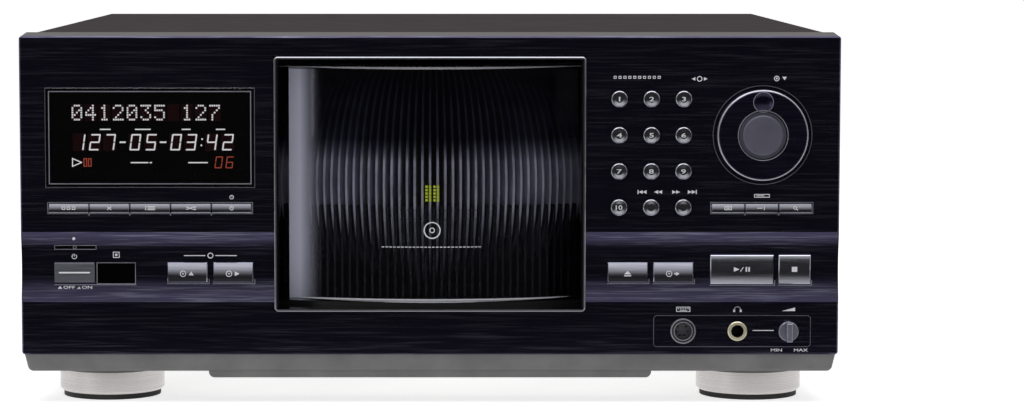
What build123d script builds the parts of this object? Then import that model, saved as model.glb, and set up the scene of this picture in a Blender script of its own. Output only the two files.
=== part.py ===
from build123d import *
import math
import os

# Rotary-rack disc changer. X is to the right, Y runs into the depth, Z is up.
# All sizes are in millimetres. Depths are measured from the front panel's face.

# ---- discs and rack ----
DISC_D = 120.0
DISC_T = 1.2
DISC_HOLE_D = 15.0
SLOT_COUNT = 300
SLOT_PITCH = 4.0          # along the rack's rim
RACK_R = SLOT_COUNT * SLOT_PITCH / (2 * math.pi)
DISC_RING_R = RACK_R - DISC_D / 2 - 0.6
DISCS_IN_VIEW = 13
DISC_SIDES = 36
HOLE_SIDES = 12
FIN_T = 1.2
COMB_WIDTH = 18.0
COMB_H = 49.0
DECK_T = 3.0
DECK_HOLE_R = DISC_RING_R - DISC_D / 2 + 2.0
SEAT_OFFSET = 25.0        # seat rings, each side of the disc's centre
SEAT_T = 3.0
DISC_LIFT = 13.0          # lowest point of a disc over the deck

# ---- disc door ----
DOOR_GAP = 1.8
DOOR_T = 2.0
DOOR_IN_R = RACK_R + DOOR_GAP
DOOR_OUT_R = DOOR_IN_R + DOOR_T
DOOR_HALF_ANGLE = 25.0
DOOR_TRAVEL = 48.0
DOOR_OVERLAP = 0.9        # taller than the disc, top and bottom
DOOR_CHAMFER = 1.4
DOOR_NECK_T = 1.1
CARRIER_T = 5.0
CARRIER_RIM = 5.5
CARRIER_END = 44.0        # the toothed carrier reaches further round than the door
CARRIER_LIFT = 0.3        # over its track
TRACK_W = 5.5

# ---- gears ----
TOOTH_SHARE = 0.40        # tooth thickness as a share of the pitch
TOOTH_ADD = 0.85
TOOTH_DED = 1.15
RACK_MODULE = 2.5
RACK_GEAR_OFFSET = 20.6   # outside the ring of disc centres
RACK_TEETH = int(2 * (DISC_RING_R + RACK_GEAR_OFFSET) / RACK_MODULE)
RACK_PINION_TEETH = 12
RACK_PINION_ANGLE = 45.0
DOOR_MODULE = 1.5
DOOR_TEETH = int(2 * (DOOR_OUT_R - CARRIER_RIM) / DOOR_MODULE - 2 * TOOTH_DED)
DOOR_PINION_TEETH = 10
DOOR_PINION_ANGLE = 230.0
FLANK = math.tan(math.radians(20.0))
GEAR_T = 6.0
SHAFT_R = 1.5
RUN_GAP = 0.05            # radial clearance of a running fit
PINION_INSET = 0.4
SHAFT_IN = 7.5            # how far a shaft goes into its motor
DOOR_MOTOR_R = 9.0
RACK_MOTOR_R = 14.0
MOTOR_GAP = 2.0

# ---- heights ----
PAD_H = 2.8
FOOT_H = 13.7
FLOOR_Z = PAD_H + FOOT_H
SHEET = 1.2
FLOOR_TOP = FLOOR_Z + SHEET
BASE_H = 8.9
PANEL_BOTTOM = FLOOR_Z + BASE_H
PANEL_WALL = 3.0
TRACK_Z = PANEL_BOTTOM + PANEL_WALL + 0.1
CARRIER_Z = TRACK_Z + SHEET + CARRIER_LIFT
DECK_Z = CARRIER_Z + CARRIER_T + 1.0
DECK_TOP = DECK_Z + DECK_T
DISC_Z = DECK_TOP + DISC_LIFT + DISC_D / 2
DOOR_MOTOR_TOP = CARRIER_Z - MOTOR_GAP
RACK_MOTOR_TOP = DECK_Z - GEAR_T - MOTOR_GAP
DOOR_Z0 = DISC_Z - DISC_D / 2 - DOOR_OVERLAP
DOOR_Z1 = DISC_Z + DISC_D / 2 + DOOR_OVERLAP
HEAD_ROOM = 17.2
COVER_Z = DISC_Z + DISC_D / 2 + HEAD_ROOM
COVER_TOP = COVER_Z + SHEET
PANEL_DROP = 1.4          # the panel's top slopes down this much to its front
PANEL_TOP = COVER_TOP - PANEL_DROP

# ---- plan ----
SIDE_GAP = 9.0
COVER_W = 2 * (DOOR_OUT_R + SIDE_GAP + SHEET)
PANEL_OVERHANG = 5.0
PANEL_W = COVER_W + 2 * PANEL_OVERHANG
DOOR_DEPTH = 8.0          # the door's nearest point behind the panel face
AXIS_D = DOOR_DEPTH + DOOR_OUT_R
REAR_GAP = 3.5
CASE_DEPTH = AXIS_D + RACK_R + REAR_GAP + SHEET
KNOB_PROUD = 8.0
JACK_PROUD = 9.0
PANEL_Y = KNOB_PROUD - (KNOB_PROUD + CASE_DEPTH + JACK_PROUD) / 2
AXIS_Y = PANEL_Y + AXIS_D
LEFT = -PANEL_W / 2
RIGHT = PANEL_W / 2
OVER = 1.0                # cuts run this far past a face

# ---- front panel ----
PANEL_DEEP = 24.0
PANEL_T = 3.5
SCOOP_Z0 = PANEL_BOTTOM + 27.2
SCOOP_Z1 = PANEL_BOTTOM + 63.3
SCOOP_DEEP = 3.0
SCOOP_BACK = SCOOP_DEEP + PANEL_T
EDGE_CHAMFER = 0.7
PANEL_CORNER = 1.5
FIT = 0.2                 # clearance round a key or lens
POST_R = 3.0              # board posts
POST_INSET = 10.0         # from the panel's ends
POST_OFFSET = 12.0        # from the window frame
POST_DROP = 12.0          # from the panel's top

# ---- window frame ----
FRAME_HALF_W = 79.8
FRAME_RIM = 2.2
FRAME_RIM_TOP = 1.4
FRAME_Z0 = DOOR_Z0 - 3.4
FRAME_Z1 = DOOR_Z1 + 5.7
FRAME_PROUD = 1.4
FRAME_DOOR_GAP = 0.8
FRAME_FLANGE = 3.0
FRAME_FLANGE_T = 1.5
FRAME_CORNER = 2.0
FRAME_EDGE = 0.5
FRAME_PAD = 2.0           # the thick wall behind the frame's flange reaches this much further

# ---- middles of the two control fields beside the window ----
FIELD_R = (FRAME_HALF_W + RIGHT) / 2
FIELD_L = (LEFT - FRAME_HALF_W) / 2

# ---- keys ----
KEY_TRAVEL = 1.0
KEY_FLANGE = 0.8
KEY_FLANGE_T = 1.2
KEY_CHAMFER = 0.4
STEM_END = 10.0
STEM_W = 3.0
SWITCH_D = STEM_END + KEY_TRAVEL + 0.2
SWITCH_W = 6.0
BOARD_D = 14.5
BOARD_T = 1.6
KEY_PROUD = 0.9
SLIM_DROP = 0.75           # the slim keys' faces lean back this far
ROUND_R = 4.15
ROUND_PROUD = 1.6
ROUND_DISH = 0.5           # depth of the dish
ROUND_DISH_R = 3.6
ROUND_FLAT_R = 1.9         # flat middle of the dish
ROUND_STEP_X = 16.45
ROUND_STEP_Z = 18.53
ROUND_X = FIELD_R - 48.0
ROUND_TOP_Z = PANEL_BOTTOM + 131.6
SLIM_Z0 = PANEL_BOTTOM + 73.2
SLIM_H = 4.9
MODE_X = FIELD_L - 50.6
MODE_W = 20.5
ROW_GAP = 0.4
TITLE_X = FIELD_R - 0.5
TITLE_W = 16.9
BAND_KEY_FACE = 0.5
BAND_KEY_DROP = 1.4        # the band keys' faces lean back this far
TALL_KEY_SINK = 0.9        # the play and stop keys are hollowed this deep
BAND_KEY_Z0 = PANEL_BOTTOM + 37.2
BAND_KEY_H = 10.2
BAND_KEY_W = 20.6
TALL_KEY_Z0 = PANEL_BOTTOM + 36.5
TALL_KEY_H = 14.8
PLAY_W = 32.5
STOP_W = 16.4
BAR_W = 16.2              # raised bar on the power button
BAR_H = 0.9
POWER_SINK = 0.4           # the power button is hollowed this deep

# ---- display ----
LENS_X = FIELD_L - 51.8
LENS_W = 106.8
LENS_Z0 = SLIM_Z0 + SLIM_H + 8.3
LENS_H = PANEL_TOP - 26.4 - LENS_Z0
LENS_PROUD = 0.3
LENS_T = 1.6
LENS_MARGIN = 1.8
TUBE_D = 4.2
TUBE_T = 6.0
TUBE_GAP = 1.0

# ---- jog dial ----
DIAL_X = FIELD_R + 25.3
DIAL_Z = PANEL_BOTTOM + 113.1
DIAL_R = 23.2
DIAL_WELL_R = 25.0
DIAL_WELL_DEEP = 1.2
DIAL_PROUD = 3.4
DIAL_BORE_R = 12.4
DIAL_HUB_R = 15.0
DIMPLE_R = 4.9
DIMPLE_AT = 17.0
DIMPLE_SPHERE_R = 8.0
DIAL_EDGE = 1.0
COLLAR_STEP = 1.6
CAP_R = 10.4
CAP_PROUD = 3.9
CAP_STEM_R = 3.0

# ---- sockets and knob ----
SOCKET_Z = PANEL_BOTTOM + 12.1
KEYBOARD_X = FIELD_R - 14.7
KEYBOARD_R = 6.6
KEYBOARD_BORE_R = 4.8
KEYBOARD_DEEP = 6.5
KEYBOARD_PROUD = 0.6
CONTACT_HOLE = 0.8
CONTACT_HOLES = [(-2.2, 1.6), (2.2, 1.6), (-2.8, -1.0), (2.8, -1.0), (-1.1, -2.9), (1.1, -2.9)]
PHONES_X = FIELD_R + 13.2
PHONES_R = 5.0
PHONES_BORE_R = 3.25
PHONES_DEEP = 16.0
PHONES_RING_PROUD = 1.0
KNOB_X = FIELD_R + 39.4
KNOB_R = 5.1
KNOB_BASE = 2.6
KNOB_BAR = 3.0
KNOB_SHAFT_R = 3.0
SOCKET_BODY_UP = 6.5
SOCKET_BODY_DOWN = 5.8
SOCKET_BODY_HALF_W = 6.5

# ---- glides under the rack ----
GLIDE_ANGLES = (0, 72, 144, 207, 288)
GLIDE_INSET = 13.0
GLIDE_R = 3.0
GLIDE_GAP = 0.1
BEARING_T = 3.6
BEARING_GAP = 0.4         # inside the rack's hole
BEARING_SINK = 0.5        # under the deck's top

# ---- feet ----
FOOT_R = 27.3
FOOT_X = PANEL_W / 2 - 42.6
FOOT_D = 38.0
FOOT_EDGE = 1.2
PAD_R = 25.4
COLLAR_H = 2.3            # of the base moulding, over each front foot

# ---- base moulding ----
BASE_INSET = 1.0
BASE_DRAW = 2.2
BASE_CORNER = 3.0
BASE_EDGE = 2.0
TAB_HALF_W = 114.0
TAB_DROP = 3.3
TAB_CORNER = 3.0
TAB_D0 = 2.0
TAB_D1 = 16.0

# ---- lenses ----
STANDBY_X = FIELD_L - 48.1
STANDBY_W = 21.6
STANDBY_Z0 = PANEL_BOTTOM + 54.1
STANDBY_H = 2.3
POWER_X = STANDBY_X
POWER_W = 20.6
SENSOR_X = POWER_X + POWER_W + 1.0
SENSOR_W = 20.1
SENSOR_Z0 = PANEL_BOTTOM + 36.2
SENSOR_H = 11.2
STANDBY_FACE = 1.6
SENSOR_FACE = 2.2

# ---- rear ----
RCA_R = 4.15
RCA_HOLE_R = 1.6
RCA_BASE_R = 6.0
RCA_STEP = 16.0
RCA_X = COVER_W / 2 - 24.0
RCA_Z = FLOOR_TOP + 28.0
INLET_W = 24.0
INLET_H = 16.0
INLET_X = -COVER_W / 2 + 34.0
INLET_Z = FLOOR_TOP + 40.0
INLET_DEEP = 16.0
INLET_PROUD = 1.2
RECESS_W = 16.4
RECESS_H = 8.6
RECESS_DEEP = 12.0
PIN_R = 1.2
PIN_STEP = 7.8
PIN_END = 3.0             # the pins end this far inside
OPTICAL_W = 12.0
OPTICAL_X = RCA_X - RCA_STEP - 20.0
OPTICAL_PORT = 6.0
SOCKET_LIP = 1.0
SCREW_HOLE_R = 1.8
SCREW_UP = 8.0
SCREW_INSET = 30.0        # first and last screw from the bonnet's ends
COVER_FOLD_R = 2.0
FLANGE_UP = 16.0

# ---- electronics ----
BOARD_EDGE = 6.0          # front boards, from the panel's ends
MAIN_BOARD_W = 61.0
MAIN_BOARD_L = 57.0
MAIN_BOARD_Z = FLOOR_TOP + 12.0
MAIN_POST_EDGE = 8.0
MAIN_POST_STEP = 40.0
CORE_W = 50.0
CORE_L = 26.0
CORE_H = 44.0
CORE_LIMB = 9.0
CORE_WINDOW = 8.0
CORE_REAR = 34.0          # from the case's rear

# ---- player in the middle of the rack ----
PLATE_X = 6.0             # the upright plate's near face, beside the disc's plane
PLATE_T = 2.0
PLATE_HALF = 56.0
PLAYER_BASE_T = 4.0
PLAYER_BASE_GAP = 6.0
LENS_SLOT_HALF = 8.0
PLATE_HOLE_R = 12.0
PLATE_HOLE_Y = 38.0
PLATE_HOLE_UP = 20.0
TABLE_R = 14.0
TABLE_X0 = 1.0
TABLE_X1 = 3.6
SPINDLE_MOTOR_R = 11.0
SPINDLE_MOTOR_L = 12.0
ROD_R = 1.5
ROD_SPREAD = 16.0
ROD_X = PLATE_X + PLATE_T + 5.5
ROD_TOP = DISC_Z - 12.0
ROD_CLIP = 3.0
SLED_HALF_H = 9.0
SLED_HALF_T = 4.0
LENS_R = 3.6
ARM_PIN_X = -6.0          # clamp arm's pivot
ARM_PIN_INSET = 5.5
ARM_H = 10.0
ARM_HALF_T = 1.5
LUG_T = 3.0
LUG_GAP = 0.3
LENS_START = 24.0         # pickup's distance from the spindle at rest
PICKUP_TRAVEL = 34.0
LEVER_Y = -40.0           # loading arm's pivot
LEVER_UP = 6.0
LEVER_L = 56.0
LEVER_R = 3.0
LEVER_PIN_R = 2.0
LEVER_X = PLATE_X - 5.0


def deep(d):
    return PANEL_Y + d


def slab(x0, x1, d0, d1, z0, z1):
    """Block between two X, two depths behind the panel's face and two heights."""
    middle = Pos((x0 + x1) / 2, deep((d0 + d1) / 2), (z0 + z1) / 2)
    return middle * Box(x1 - x0, d1 - d0, z1 - z0)


def rod_y(x, z, r, d0, d1):
    """Cylinder along Y between two depths."""
    return Pos(x, deep((d0 + d1) / 2), z) * Rot(90, 0, 0) * Cylinder(r, d1 - d0)


def rod_x(y, z, r, x0, x1):
    """Cylinder along X, placed by its Y from the rack's axis."""
    return Pos((x0 + x1) / 2, AXIS_Y + y, z) * Rot(0, 90, 0) * Cylinder(r, x1 - x0)


def rod_z(x, y, r, z0, z1):
    """Cylinder along Z, placed from the rack's axis."""
    return Pos(x, AXIS_Y + y, (z0 + z1) / 2) * Cylinder(r, z1 - z0)


def axis_block(x0, x1, y0, y1, z0, z1):
    """Block placed from the rack's axis."""
    middle = Pos((x0 + x1) / 2, AXIS_Y + (y0 + y1) / 2, (z0 + z1) / 2)
    return middle * Box(x1 - x0, y1 - y0, z1 - z0)


def ring_z(r0, r1, z0, z1):
    """Flat ring about the rack's axis."""
    return rod_z(0, 0, r1, z0, z1) - rod_z(0, 0, r0, z0 - 1, z1 + 1)


def polar(r, degrees):
    """X and Y from the rack's axis; 0 is to the right and 270 to the front."""
    a = math.radians(degrees)
    return r * math.cos(a), r * math.sin(a)


def sector(r0, r1, z0, z1, a0, a1):
    """Curved wall about the rack's axis, from angle a0 to a1."""
    outline = Polyline(polar(r0, a0), polar(r1, a0))
    outer = CenterArc((0, 0), r1, a0, a1 - a0)
    side = Polyline(polar(r1, a1), polar(r0, a1))
    inner = CenterArc((0, 0), r0, a0, a1 - a0)
    face = make_face([*outline.edges(), *outer.edges(), *side.edges(), *inner.edges()])
    return Pos(0, AXIS_Y, z0) * extrude(face, amount=z1 - z0)


def tooth_points(module, pitch_r, count, start, step, outward=1):
    """Corners of straight-flanked teeth round a pitch circle, counter-clockwise."""
    tip = pitch_r + outward * TOOTH_ADD * module
    root = pitch_r - outward * TOOTH_DED * module
    half = math.pi * module * TOOTH_SHARE / 2
    half_tip = half - TOOTH_ADD * module * FLANK
    half_root = half + TOOTH_DED * module * FLANK
    corners = []
    for i in range(count):
        middle = start + i * step
        for r, side in ((root, -half_root), (tip, -half_tip), (tip, half_tip), (root, half_root)):
            corners.append(polar(r, middle + math.degrees(side / r)))
    return corners


def pinion(module, teeth, x, y, z0, z1, towards):
    """Small gear that has a gap between two teeth in the direction given."""
    step = 360.0 / teeth
    corners = tooth_points(module, module * teeth / 2, teeth, towards + step / 2, step)
    face = make_face(Polyline(*corners, close=True))
    return Pos(x, AXIS_Y + y, z0) * extrude(face, amount=z1 - z0)


def soften(shape, size):
    """Chamfer the edges round the face that looks to the front."""
    return chamfer(shape.edges().group_by(Axis.Y)[0], size)


def key_body(x0, x1, z0, z1, bow, back):
    """Key's upper part: the front follows an arc seen from the side, the edges round it are chamfered."""
    rear = deep(back + FIT)
    sides = Polyline(bow @ 1, (rear, z1), (rear, z0), bow @ 0)
    face = make_face([*bow.edges(), *sides.edges()])
    body = Pos(x0, 0, 0) * extrude(Plane.YZ * face, amount=x1 - x0)
    front = body.faces().filter_by(GeomType.CYLINDER)[0]
    return chamfer(front.edges(), KEY_CHAMFER)


def crowned(z0, z1, face, drop):
    """Arc that stands upright at the key's lower edge and leans back towards the upper one."""
    return TangentArc((deep(face), z0), (deep(face + drop), z1), tangent=(0, 1))


def dished(z0, z1, face, sink):
    """Hollow arc, deepest half way up."""
    return ThreePointArc((deep(face), z0), (deep(face + sink), (z0 + z1) / 2), (deep(face), z1))


def key_cap(x0, x1, z0, z1, bow, back, side_flange=KEY_FLANGE):
    """Key with a flange behind the panel's wall, at depth back, and a stem to its switch."""
    cap = key_body(x0, x1, z0, z1, bow, back)
    flange = slab(x0 - side_flange, x1 + side_flange, back + FIT, back + FIT + KEY_FLANGE_T,
                  z0 - KEY_FLANGE, z1 + KEY_FLANGE)
    x, z = (x0 + x1) / 2, (z0 + z1) / 2
    stem = slab(x - STEM_W / 2, x + STEM_W / 2, back + FIT + KEY_FLANGE_T, STEM_END,
                z - STEM_W / 2, z + STEM_W / 2)
    return cap + flange + stem


def round_key(x, z):
    """Round key with a shallow dish for the fingertip."""
    cap = soften(rod_y(x, z, ROUND_R, -ROUND_PROUD, PANEL_T + FIT), KEY_CHAMFER)
    middle = Pos(x, deep(ROUND_DISH / 2 - ROUND_PROUD), z)
    cap -= middle * Rot(90, 0, 0) * Cone(ROUND_FLAT_R, ROUND_DISH_R, ROUND_DISH)
    half = ROUND_R + KEY_FLANGE
    flange = slab(x - half, x + half, PANEL_T + FIT, PANEL_T + FIT + KEY_FLANGE_T, z - half, z + half)
    stem = slab(x - STEM_W / 2, x + STEM_W / 2, PANEL_T + FIT + KEY_FLANGE_T, STEM_END,
                z - STEM_W / 2, z + STEM_W / 2)
    return cap + flange + stem


def row_keys(names, x, width):
    """Slim keys side by side in one slot: name to (x0, x1)."""
    step = width + ROW_GAP
    return {name: (x + i * step, x + i * step + width) for i, name in enumerate(names)}


# ---------------------------------------------------------------- where the keys are
MODE_NAMES = ["mode_key", "clear_key", "program_key", "random_key", "time_key"]
TITLE_NAMES = ["title_display_key", "title_input_key", "title_search_key"]
ROUND_NAMES = [f"digit_{i}" for i in range(1, 11)] + ["track_back", "track_forward"]
mode_row = row_keys(MODE_NAMES, MODE_X, MODE_W)
title_row = row_keys(TITLE_NAMES, TITLE_X, TITLE_W)
round_places = {name: (ROUND_X + i % 3 * ROUND_STEP_X, ROUND_TOP_Z - i // 3 * ROUND_STEP_Z)
                for i, name in enumerate(ROUND_NAMES)}


def band_key(x, width, z=BAND_KEY_Z0, height=BAND_KEY_H):
    return (x, x + width, z, height)


band_keys = {
    "power_button": band_key(POWER_X, POWER_W),
    "loader_access_key": band_key(FIELD_L + 9.9, BAND_KEY_W),
    "loader_play_key": band_key(FIELD_L + 33.5, BAND_KEY_W),
    "open_close_key": band_key(FIELD_R - 53.6, BAND_KEY_W),
    "unload_key": band_key(FIELD_R - 30.1, BAND_KEY_W),
    "play_pause_key": band_key(FIELD_R - 0.8, PLAY_W, TALL_KEY_Z0, TALL_KEY_H),
    "stop_key": band_key(FIELD_R + 34.3, STOP_W, TALL_KEY_Z0, TALL_KEY_H),
}


def row_hole(row):
    places = list(row.values())
    return slab(places[0][0] - FIT, places[-1][1] + FIT, -OVER, PANEL_T + OVER,
                SLIM_Z0 - FIT, SLIM_Z0 + SLIM_H + FIT)


# ---------------------------------------------------------------- front
def scoop():
    """The shallow round-bottomed channel that runs right across the panel."""
    middle = (SCOOP_Z0 + SCOOP_Z1) / 2
    outside = PANEL_Y - OVER
    bow = ThreePointArc((PANEL_Y, SCOOP_Z0), (PANEL_Y + SCOOP_DEEP, middle), (PANEL_Y, SCOOP_Z1))
    front = Polyline((PANEL_Y, SCOOP_Z1), (outside, SCOOP_Z1), (outside, SCOOP_Z0), (PANEL_Y, SCOOP_Z0))
    face = make_face([*bow.edges(), *front.edges()])
    return Pos(LEFT - OVER, 0, 0) * extrude(Plane.YZ * face, amount=PANEL_W + 2 * OVER)


def panel_block():
    """The panel's outer form: its top slopes up to the bonnet behind it."""
    rear = PANEL_Y + PANEL_DEEP
    side = Polyline((PANEL_Y, PANEL_BOTTOM), (rear, PANEL_BOTTOM), (rear, COVER_TOP), (PANEL_Y, PANEL_TOP),
                    close=True)
    block = Pos(LEFT, 0, 0) * extrude(Plane.YZ * make_face(side), amount=PANEL_W)
    block = fillet(block.edges().filter_by(lambda edge: abs(edge.tangent_at(0.5).Y) > 0.9), PANEL_CORNER)
    return soften(block, EDGE_CHAMFER)


def panel_hollow():
    """Space inside the panel's rim, less the thicker walls behind the scoop and the window frame."""
    in_x, in_z0, in_z1 = RIGHT - PANEL_WALL, PANEL_BOTTOM + PANEL_WALL, PANEL_TOP - PANEL_WALL
    pad_x = FRAME_HALF_W + FRAME_FLANGE + FRAME_PAD
    hollow = slab(-in_x, in_x, PANEL_T, PANEL_DEEP + OVER, in_z0, in_z1)
    band_wall = slab(-in_x, in_x, PANEL_T, SCOOP_BACK, SCOOP_Z0 - PANEL_T, SCOOP_Z1 + PANEL_T)
    return hollow - band_wall - slab(-pad_x, pad_x, PANEL_T, SCOOP_BACK, in_z0, in_z1)


def through(x, z, r, d1=PANEL_T + OVER):
    """Round hole from the panel's face."""
    return rod_y(x, z, r, -OVER, d1)


def front_panel():
    body = panel_block() - panel_hollow()
    for x, z in board_posts():
        body += rod_y(x, z, POST_R, PANEL_T - OVER, BOARD_D)
    body -= scoop()
    body -= slab(-FRAME_HALF_W - FIT, FRAME_HALF_W + FIT, -OVER, PANEL_DEEP, FRAME_Z0 - FIT, FRAME_Z1 + FIT)
    body -= slab(LENS_X, LENS_X + LENS_W, -OVER, LENS_T, LENS_Z0, LENS_Z0 + LENS_H)
    body -= slab(LENS_X + LENS_MARGIN, LENS_X + LENS_W - LENS_MARGIN, 0, PANEL_T + OVER,
                 LENS_Z0 + LENS_MARGIN, LENS_Z0 + LENS_H - LENS_MARGIN)
    body -= row_hole(mode_row) + row_hole(title_row)
    for x, z in round_places.values():
        body -= through(x, z, ROUND_R + FIT)
    behind = SCOOP_BACK + OVER
    for x0, x1, z0, height in band_keys.values():
        body -= slab(x0 - FIT, x1 + FIT, -OVER, behind, z0 - FIT, z0 + height + FIT)
    body -= slab(STANDBY_X, STANDBY_X + STANDBY_W, -OVER, behind, STANDBY_Z0, STANDBY_Z0 + STANDBY_H)
    body -= slab(SENSOR_X, SENSOR_X + SENSOR_W, -OVER, behind, SENSOR_Z0, SENSOR_Z0 + SENSOR_H)
    body -= through(DIAL_X, DIAL_Z, DIAL_WELL_R, DIAL_WELL_DEEP)
    body -= through(DIAL_X, DIAL_Z, DIAL_HUB_R + RUN_GAP)
    body -= through(KEYBOARD_X, SOCKET_Z, KEYBOARD_R)
    body -= through(PHONES_X, SOCKET_Z, PHONES_R)
    body -= through(KNOB_X, SOCKET_Z, KNOB_SHAFT_R + RUN_GAP)
    return body


def window_frame():
    """Bright rim and deep tunnel; the tunnel's back follows the door's curve."""
    out_x, in_x = FRAME_HALF_W, FRAME_HALF_W - FRAME_RIM
    shell = slab(-out_x, out_x, -FRAME_PROUD, PANEL_DEEP, FRAME_Z0, FRAME_Z1)
    shell = fillet(shell.edges().filter_by(Axis.Y), FRAME_CORNER)
    shell = soften(shell, FRAME_EDGE)
    reach = FRAME_FLANGE
    shell += slab(-out_x - reach, out_x + reach, SCOOP_BACK, SCOOP_BACK + FRAME_FLANGE_T,
                  FRAME_Z0 - reach, FRAME_Z1 + reach)
    shell -= slab(-in_x, in_x, -FRAME_PROUD - OVER, PANEL_DEEP + OVER,
                  FRAME_Z0 + FRAME_RIM_TOP, FRAME_Z1 - FRAME_RIM_TOP)
    return shell - rod_z(0, 0, DOOR_OUT_R + FRAME_DOOR_GAP, PANEL_BOTTOM, COVER_TOP)


def display_window():
    plate = slab(LENS_X, LENS_X + LENS_W, -LENS_PROUD, LENS_T, LENS_Z0, LENS_Z0 + LENS_H)
    tongue = slab(LENS_X + LENS_MARGIN, LENS_X + LENS_W - LENS_MARGIN, LENS_T, PANEL_T,
                  LENS_Z0 + LENS_MARGIN, LENS_Z0 + LENS_H - LENS_MARGIN)
    return soften(plate, LENS_PROUD) + tongue


def display_module():
    """Fluorescent tube: glass envelope and the frame behind it."""
    edge = LENS_MARGIN + TUBE_GAP
    x0, x1 = LENS_X + edge, LENS_X + LENS_W - edge
    z0, z1 = LENS_Z0 + edge, LENS_Z0 + LENS_H - edge
    glass = soften(slab(x0, x1, TUBE_D, TUBE_D + TUBE_T, z0, z1), 0.5)
    frame = slab(x0 + 2, x1 - 2, TUBE_D + TUBE_T, BOARD_D, z0 + 2, z1 - 2)
    return glass + frame


def front_lenses():
    """Standby strip and remote sensor window."""
    standby = slab(STANDBY_X, STANDBY_X + STANDBY_W, STANDBY_FACE, SCOOP_BACK,
                   STANDBY_Z0, STANDBY_Z0 + STANDBY_H)
    sensor = slab(SENSOR_X, SENSOR_X + SENSOR_W, SENSOR_FACE, SCOOP_BACK, SENSOR_Z0, SENSOR_Z0 + SENSOR_H)
    return [standby, sensor]


def power_button():
    """A dished key with a raised bar across it."""
    x0, x1, z0, height = band_keys["power_button"]
    x, z = (x0 + x1) / 2, z0 + height / 2
    bar = slab(x - BAR_W / 2, x + BAR_W / 2, BAND_KEY_FACE, BAND_KEY_FACE + POWER_SINK + FIT,
               z - BAR_H / 2, z + BAR_H / 2)
    bow = dished(z0, z0 + height, BAND_KEY_FACE, POWER_SINK)
    return key_cap(x0, x1, z0, z0 + height, bow, SCOOP_BACK) + bar


def dial_rod(r, d0, d1):
    return rod_y(DIAL_X, DIAL_Z, r, d0, d1)


def jog_dial():
    """Disc with a finger dimple, on a hub that turns in the panel and is held by a collar."""
    plate_back, collar_front, collar_back = 0.6, PANEL_T + 0.7, PANEL_T + 2.0
    plate = soften(dial_rod(DIAL_R, -DIAL_PROUD, plate_back), DIAL_EDGE)
    hub = dial_rod(DIAL_HUB_R, plate_back, collar_front)
    collar = dial_rod(DIAL_HUB_R + COLLAR_STEP, collar_front, collar_back)
    sink = math.sqrt(DIMPLE_SPHERE_R ** 2 - DIMPLE_R ** 2)
    dimple = Pos(DIAL_X, deep(-DIAL_PROUD - sink), DIAL_Z + DIMPLE_AT) * Sphere(DIMPLE_SPHERE_R)
    bore = dial_rod(DIAL_BORE_R, -DIAL_PROUD - OVER, collar_back + OVER)
    return plate + hub + collar - bore - dimple


def jog_button():
    skirt_front, skirt_back = 2.0 - CAP_PROUD, 2.0
    cap = soften(dial_rod(CAP_R, -CAP_PROUD, skirt_front), 0.8)
    skirt = dial_rod(DIAL_BORE_R - 0.4, skirt_front, skirt_back)
    return cap + skirt + dial_rod(CAP_STEM_R, skirt_back, STEM_END)


def level_knob():
    """Round base with a grip bar, on a shaft that turns in the panel."""
    back, grip = -0.3, KNOB_R - 0.3
    base = soften(rod_y(KNOB_X, SOCKET_Z, KNOB_R, -KNOB_BASE, back), KEY_CHAMFER)
    bar = slab(KNOB_X - KNOB_BAR / 2, KNOB_X + KNOB_BAR / 2, -KNOB_PROUD, -KNOB_BASE,
               SOCKET_Z - grip, SOCKET_Z + grip)
    return base + soften(bar, KEY_CHAMFER) + rod_y(KNOB_X, SOCKET_Z, KNOB_SHAFT_R, back, STEM_END)


def socket_body(x, d1):
    """The square body behind a round socket."""
    return slab(x - SOCKET_BODY_HALF_W, x + SOCKET_BODY_HALF_W, PANEL_T, d1,
                SOCKET_Z - SOCKET_BODY_DOWN, SOCKET_Z + SOCKET_BODY_UP)


def phones_jack():
    ring = soften(rod_y(PHONES_X, SOCKET_Z, PHONES_R, -PHONES_RING_PROUD, PANEL_T), KEY_CHAMFER)
    body = ring + socket_body(PHONES_X, PHONES_DEEP + 3.0)
    return body - rod_y(PHONES_X, SOCKET_Z, PHONES_BORE_R, -2, PHONES_DEEP - PHONES_RING_PROUD)


def keyboard_socket():
    shell = soften(rod_y(KEYBOARD_X, SOCKET_Z, KEYBOARD_R, -KEYBOARD_PROUD, PANEL_T), 0.3)
    socket = shell + socket_body(KEYBOARD_X, KEYBOARD_DEEP + 6.5)
    socket -= rod_y(KEYBOARD_X, SOCKET_Z, KEYBOARD_BORE_R, -2, KEYBOARD_DEEP)
    half = CONTACT_HOLE / 2
    for dx, dz in CONTACT_HOLES:
        x, z = KEYBOARD_X + dx, SOCKET_Z + dz
        socket -= slab(x - half, x + half, KEYBOARD_DEEP - OVER, KEYBOARD_DEEP + 4, z - half, z + half)
    return socket


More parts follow.
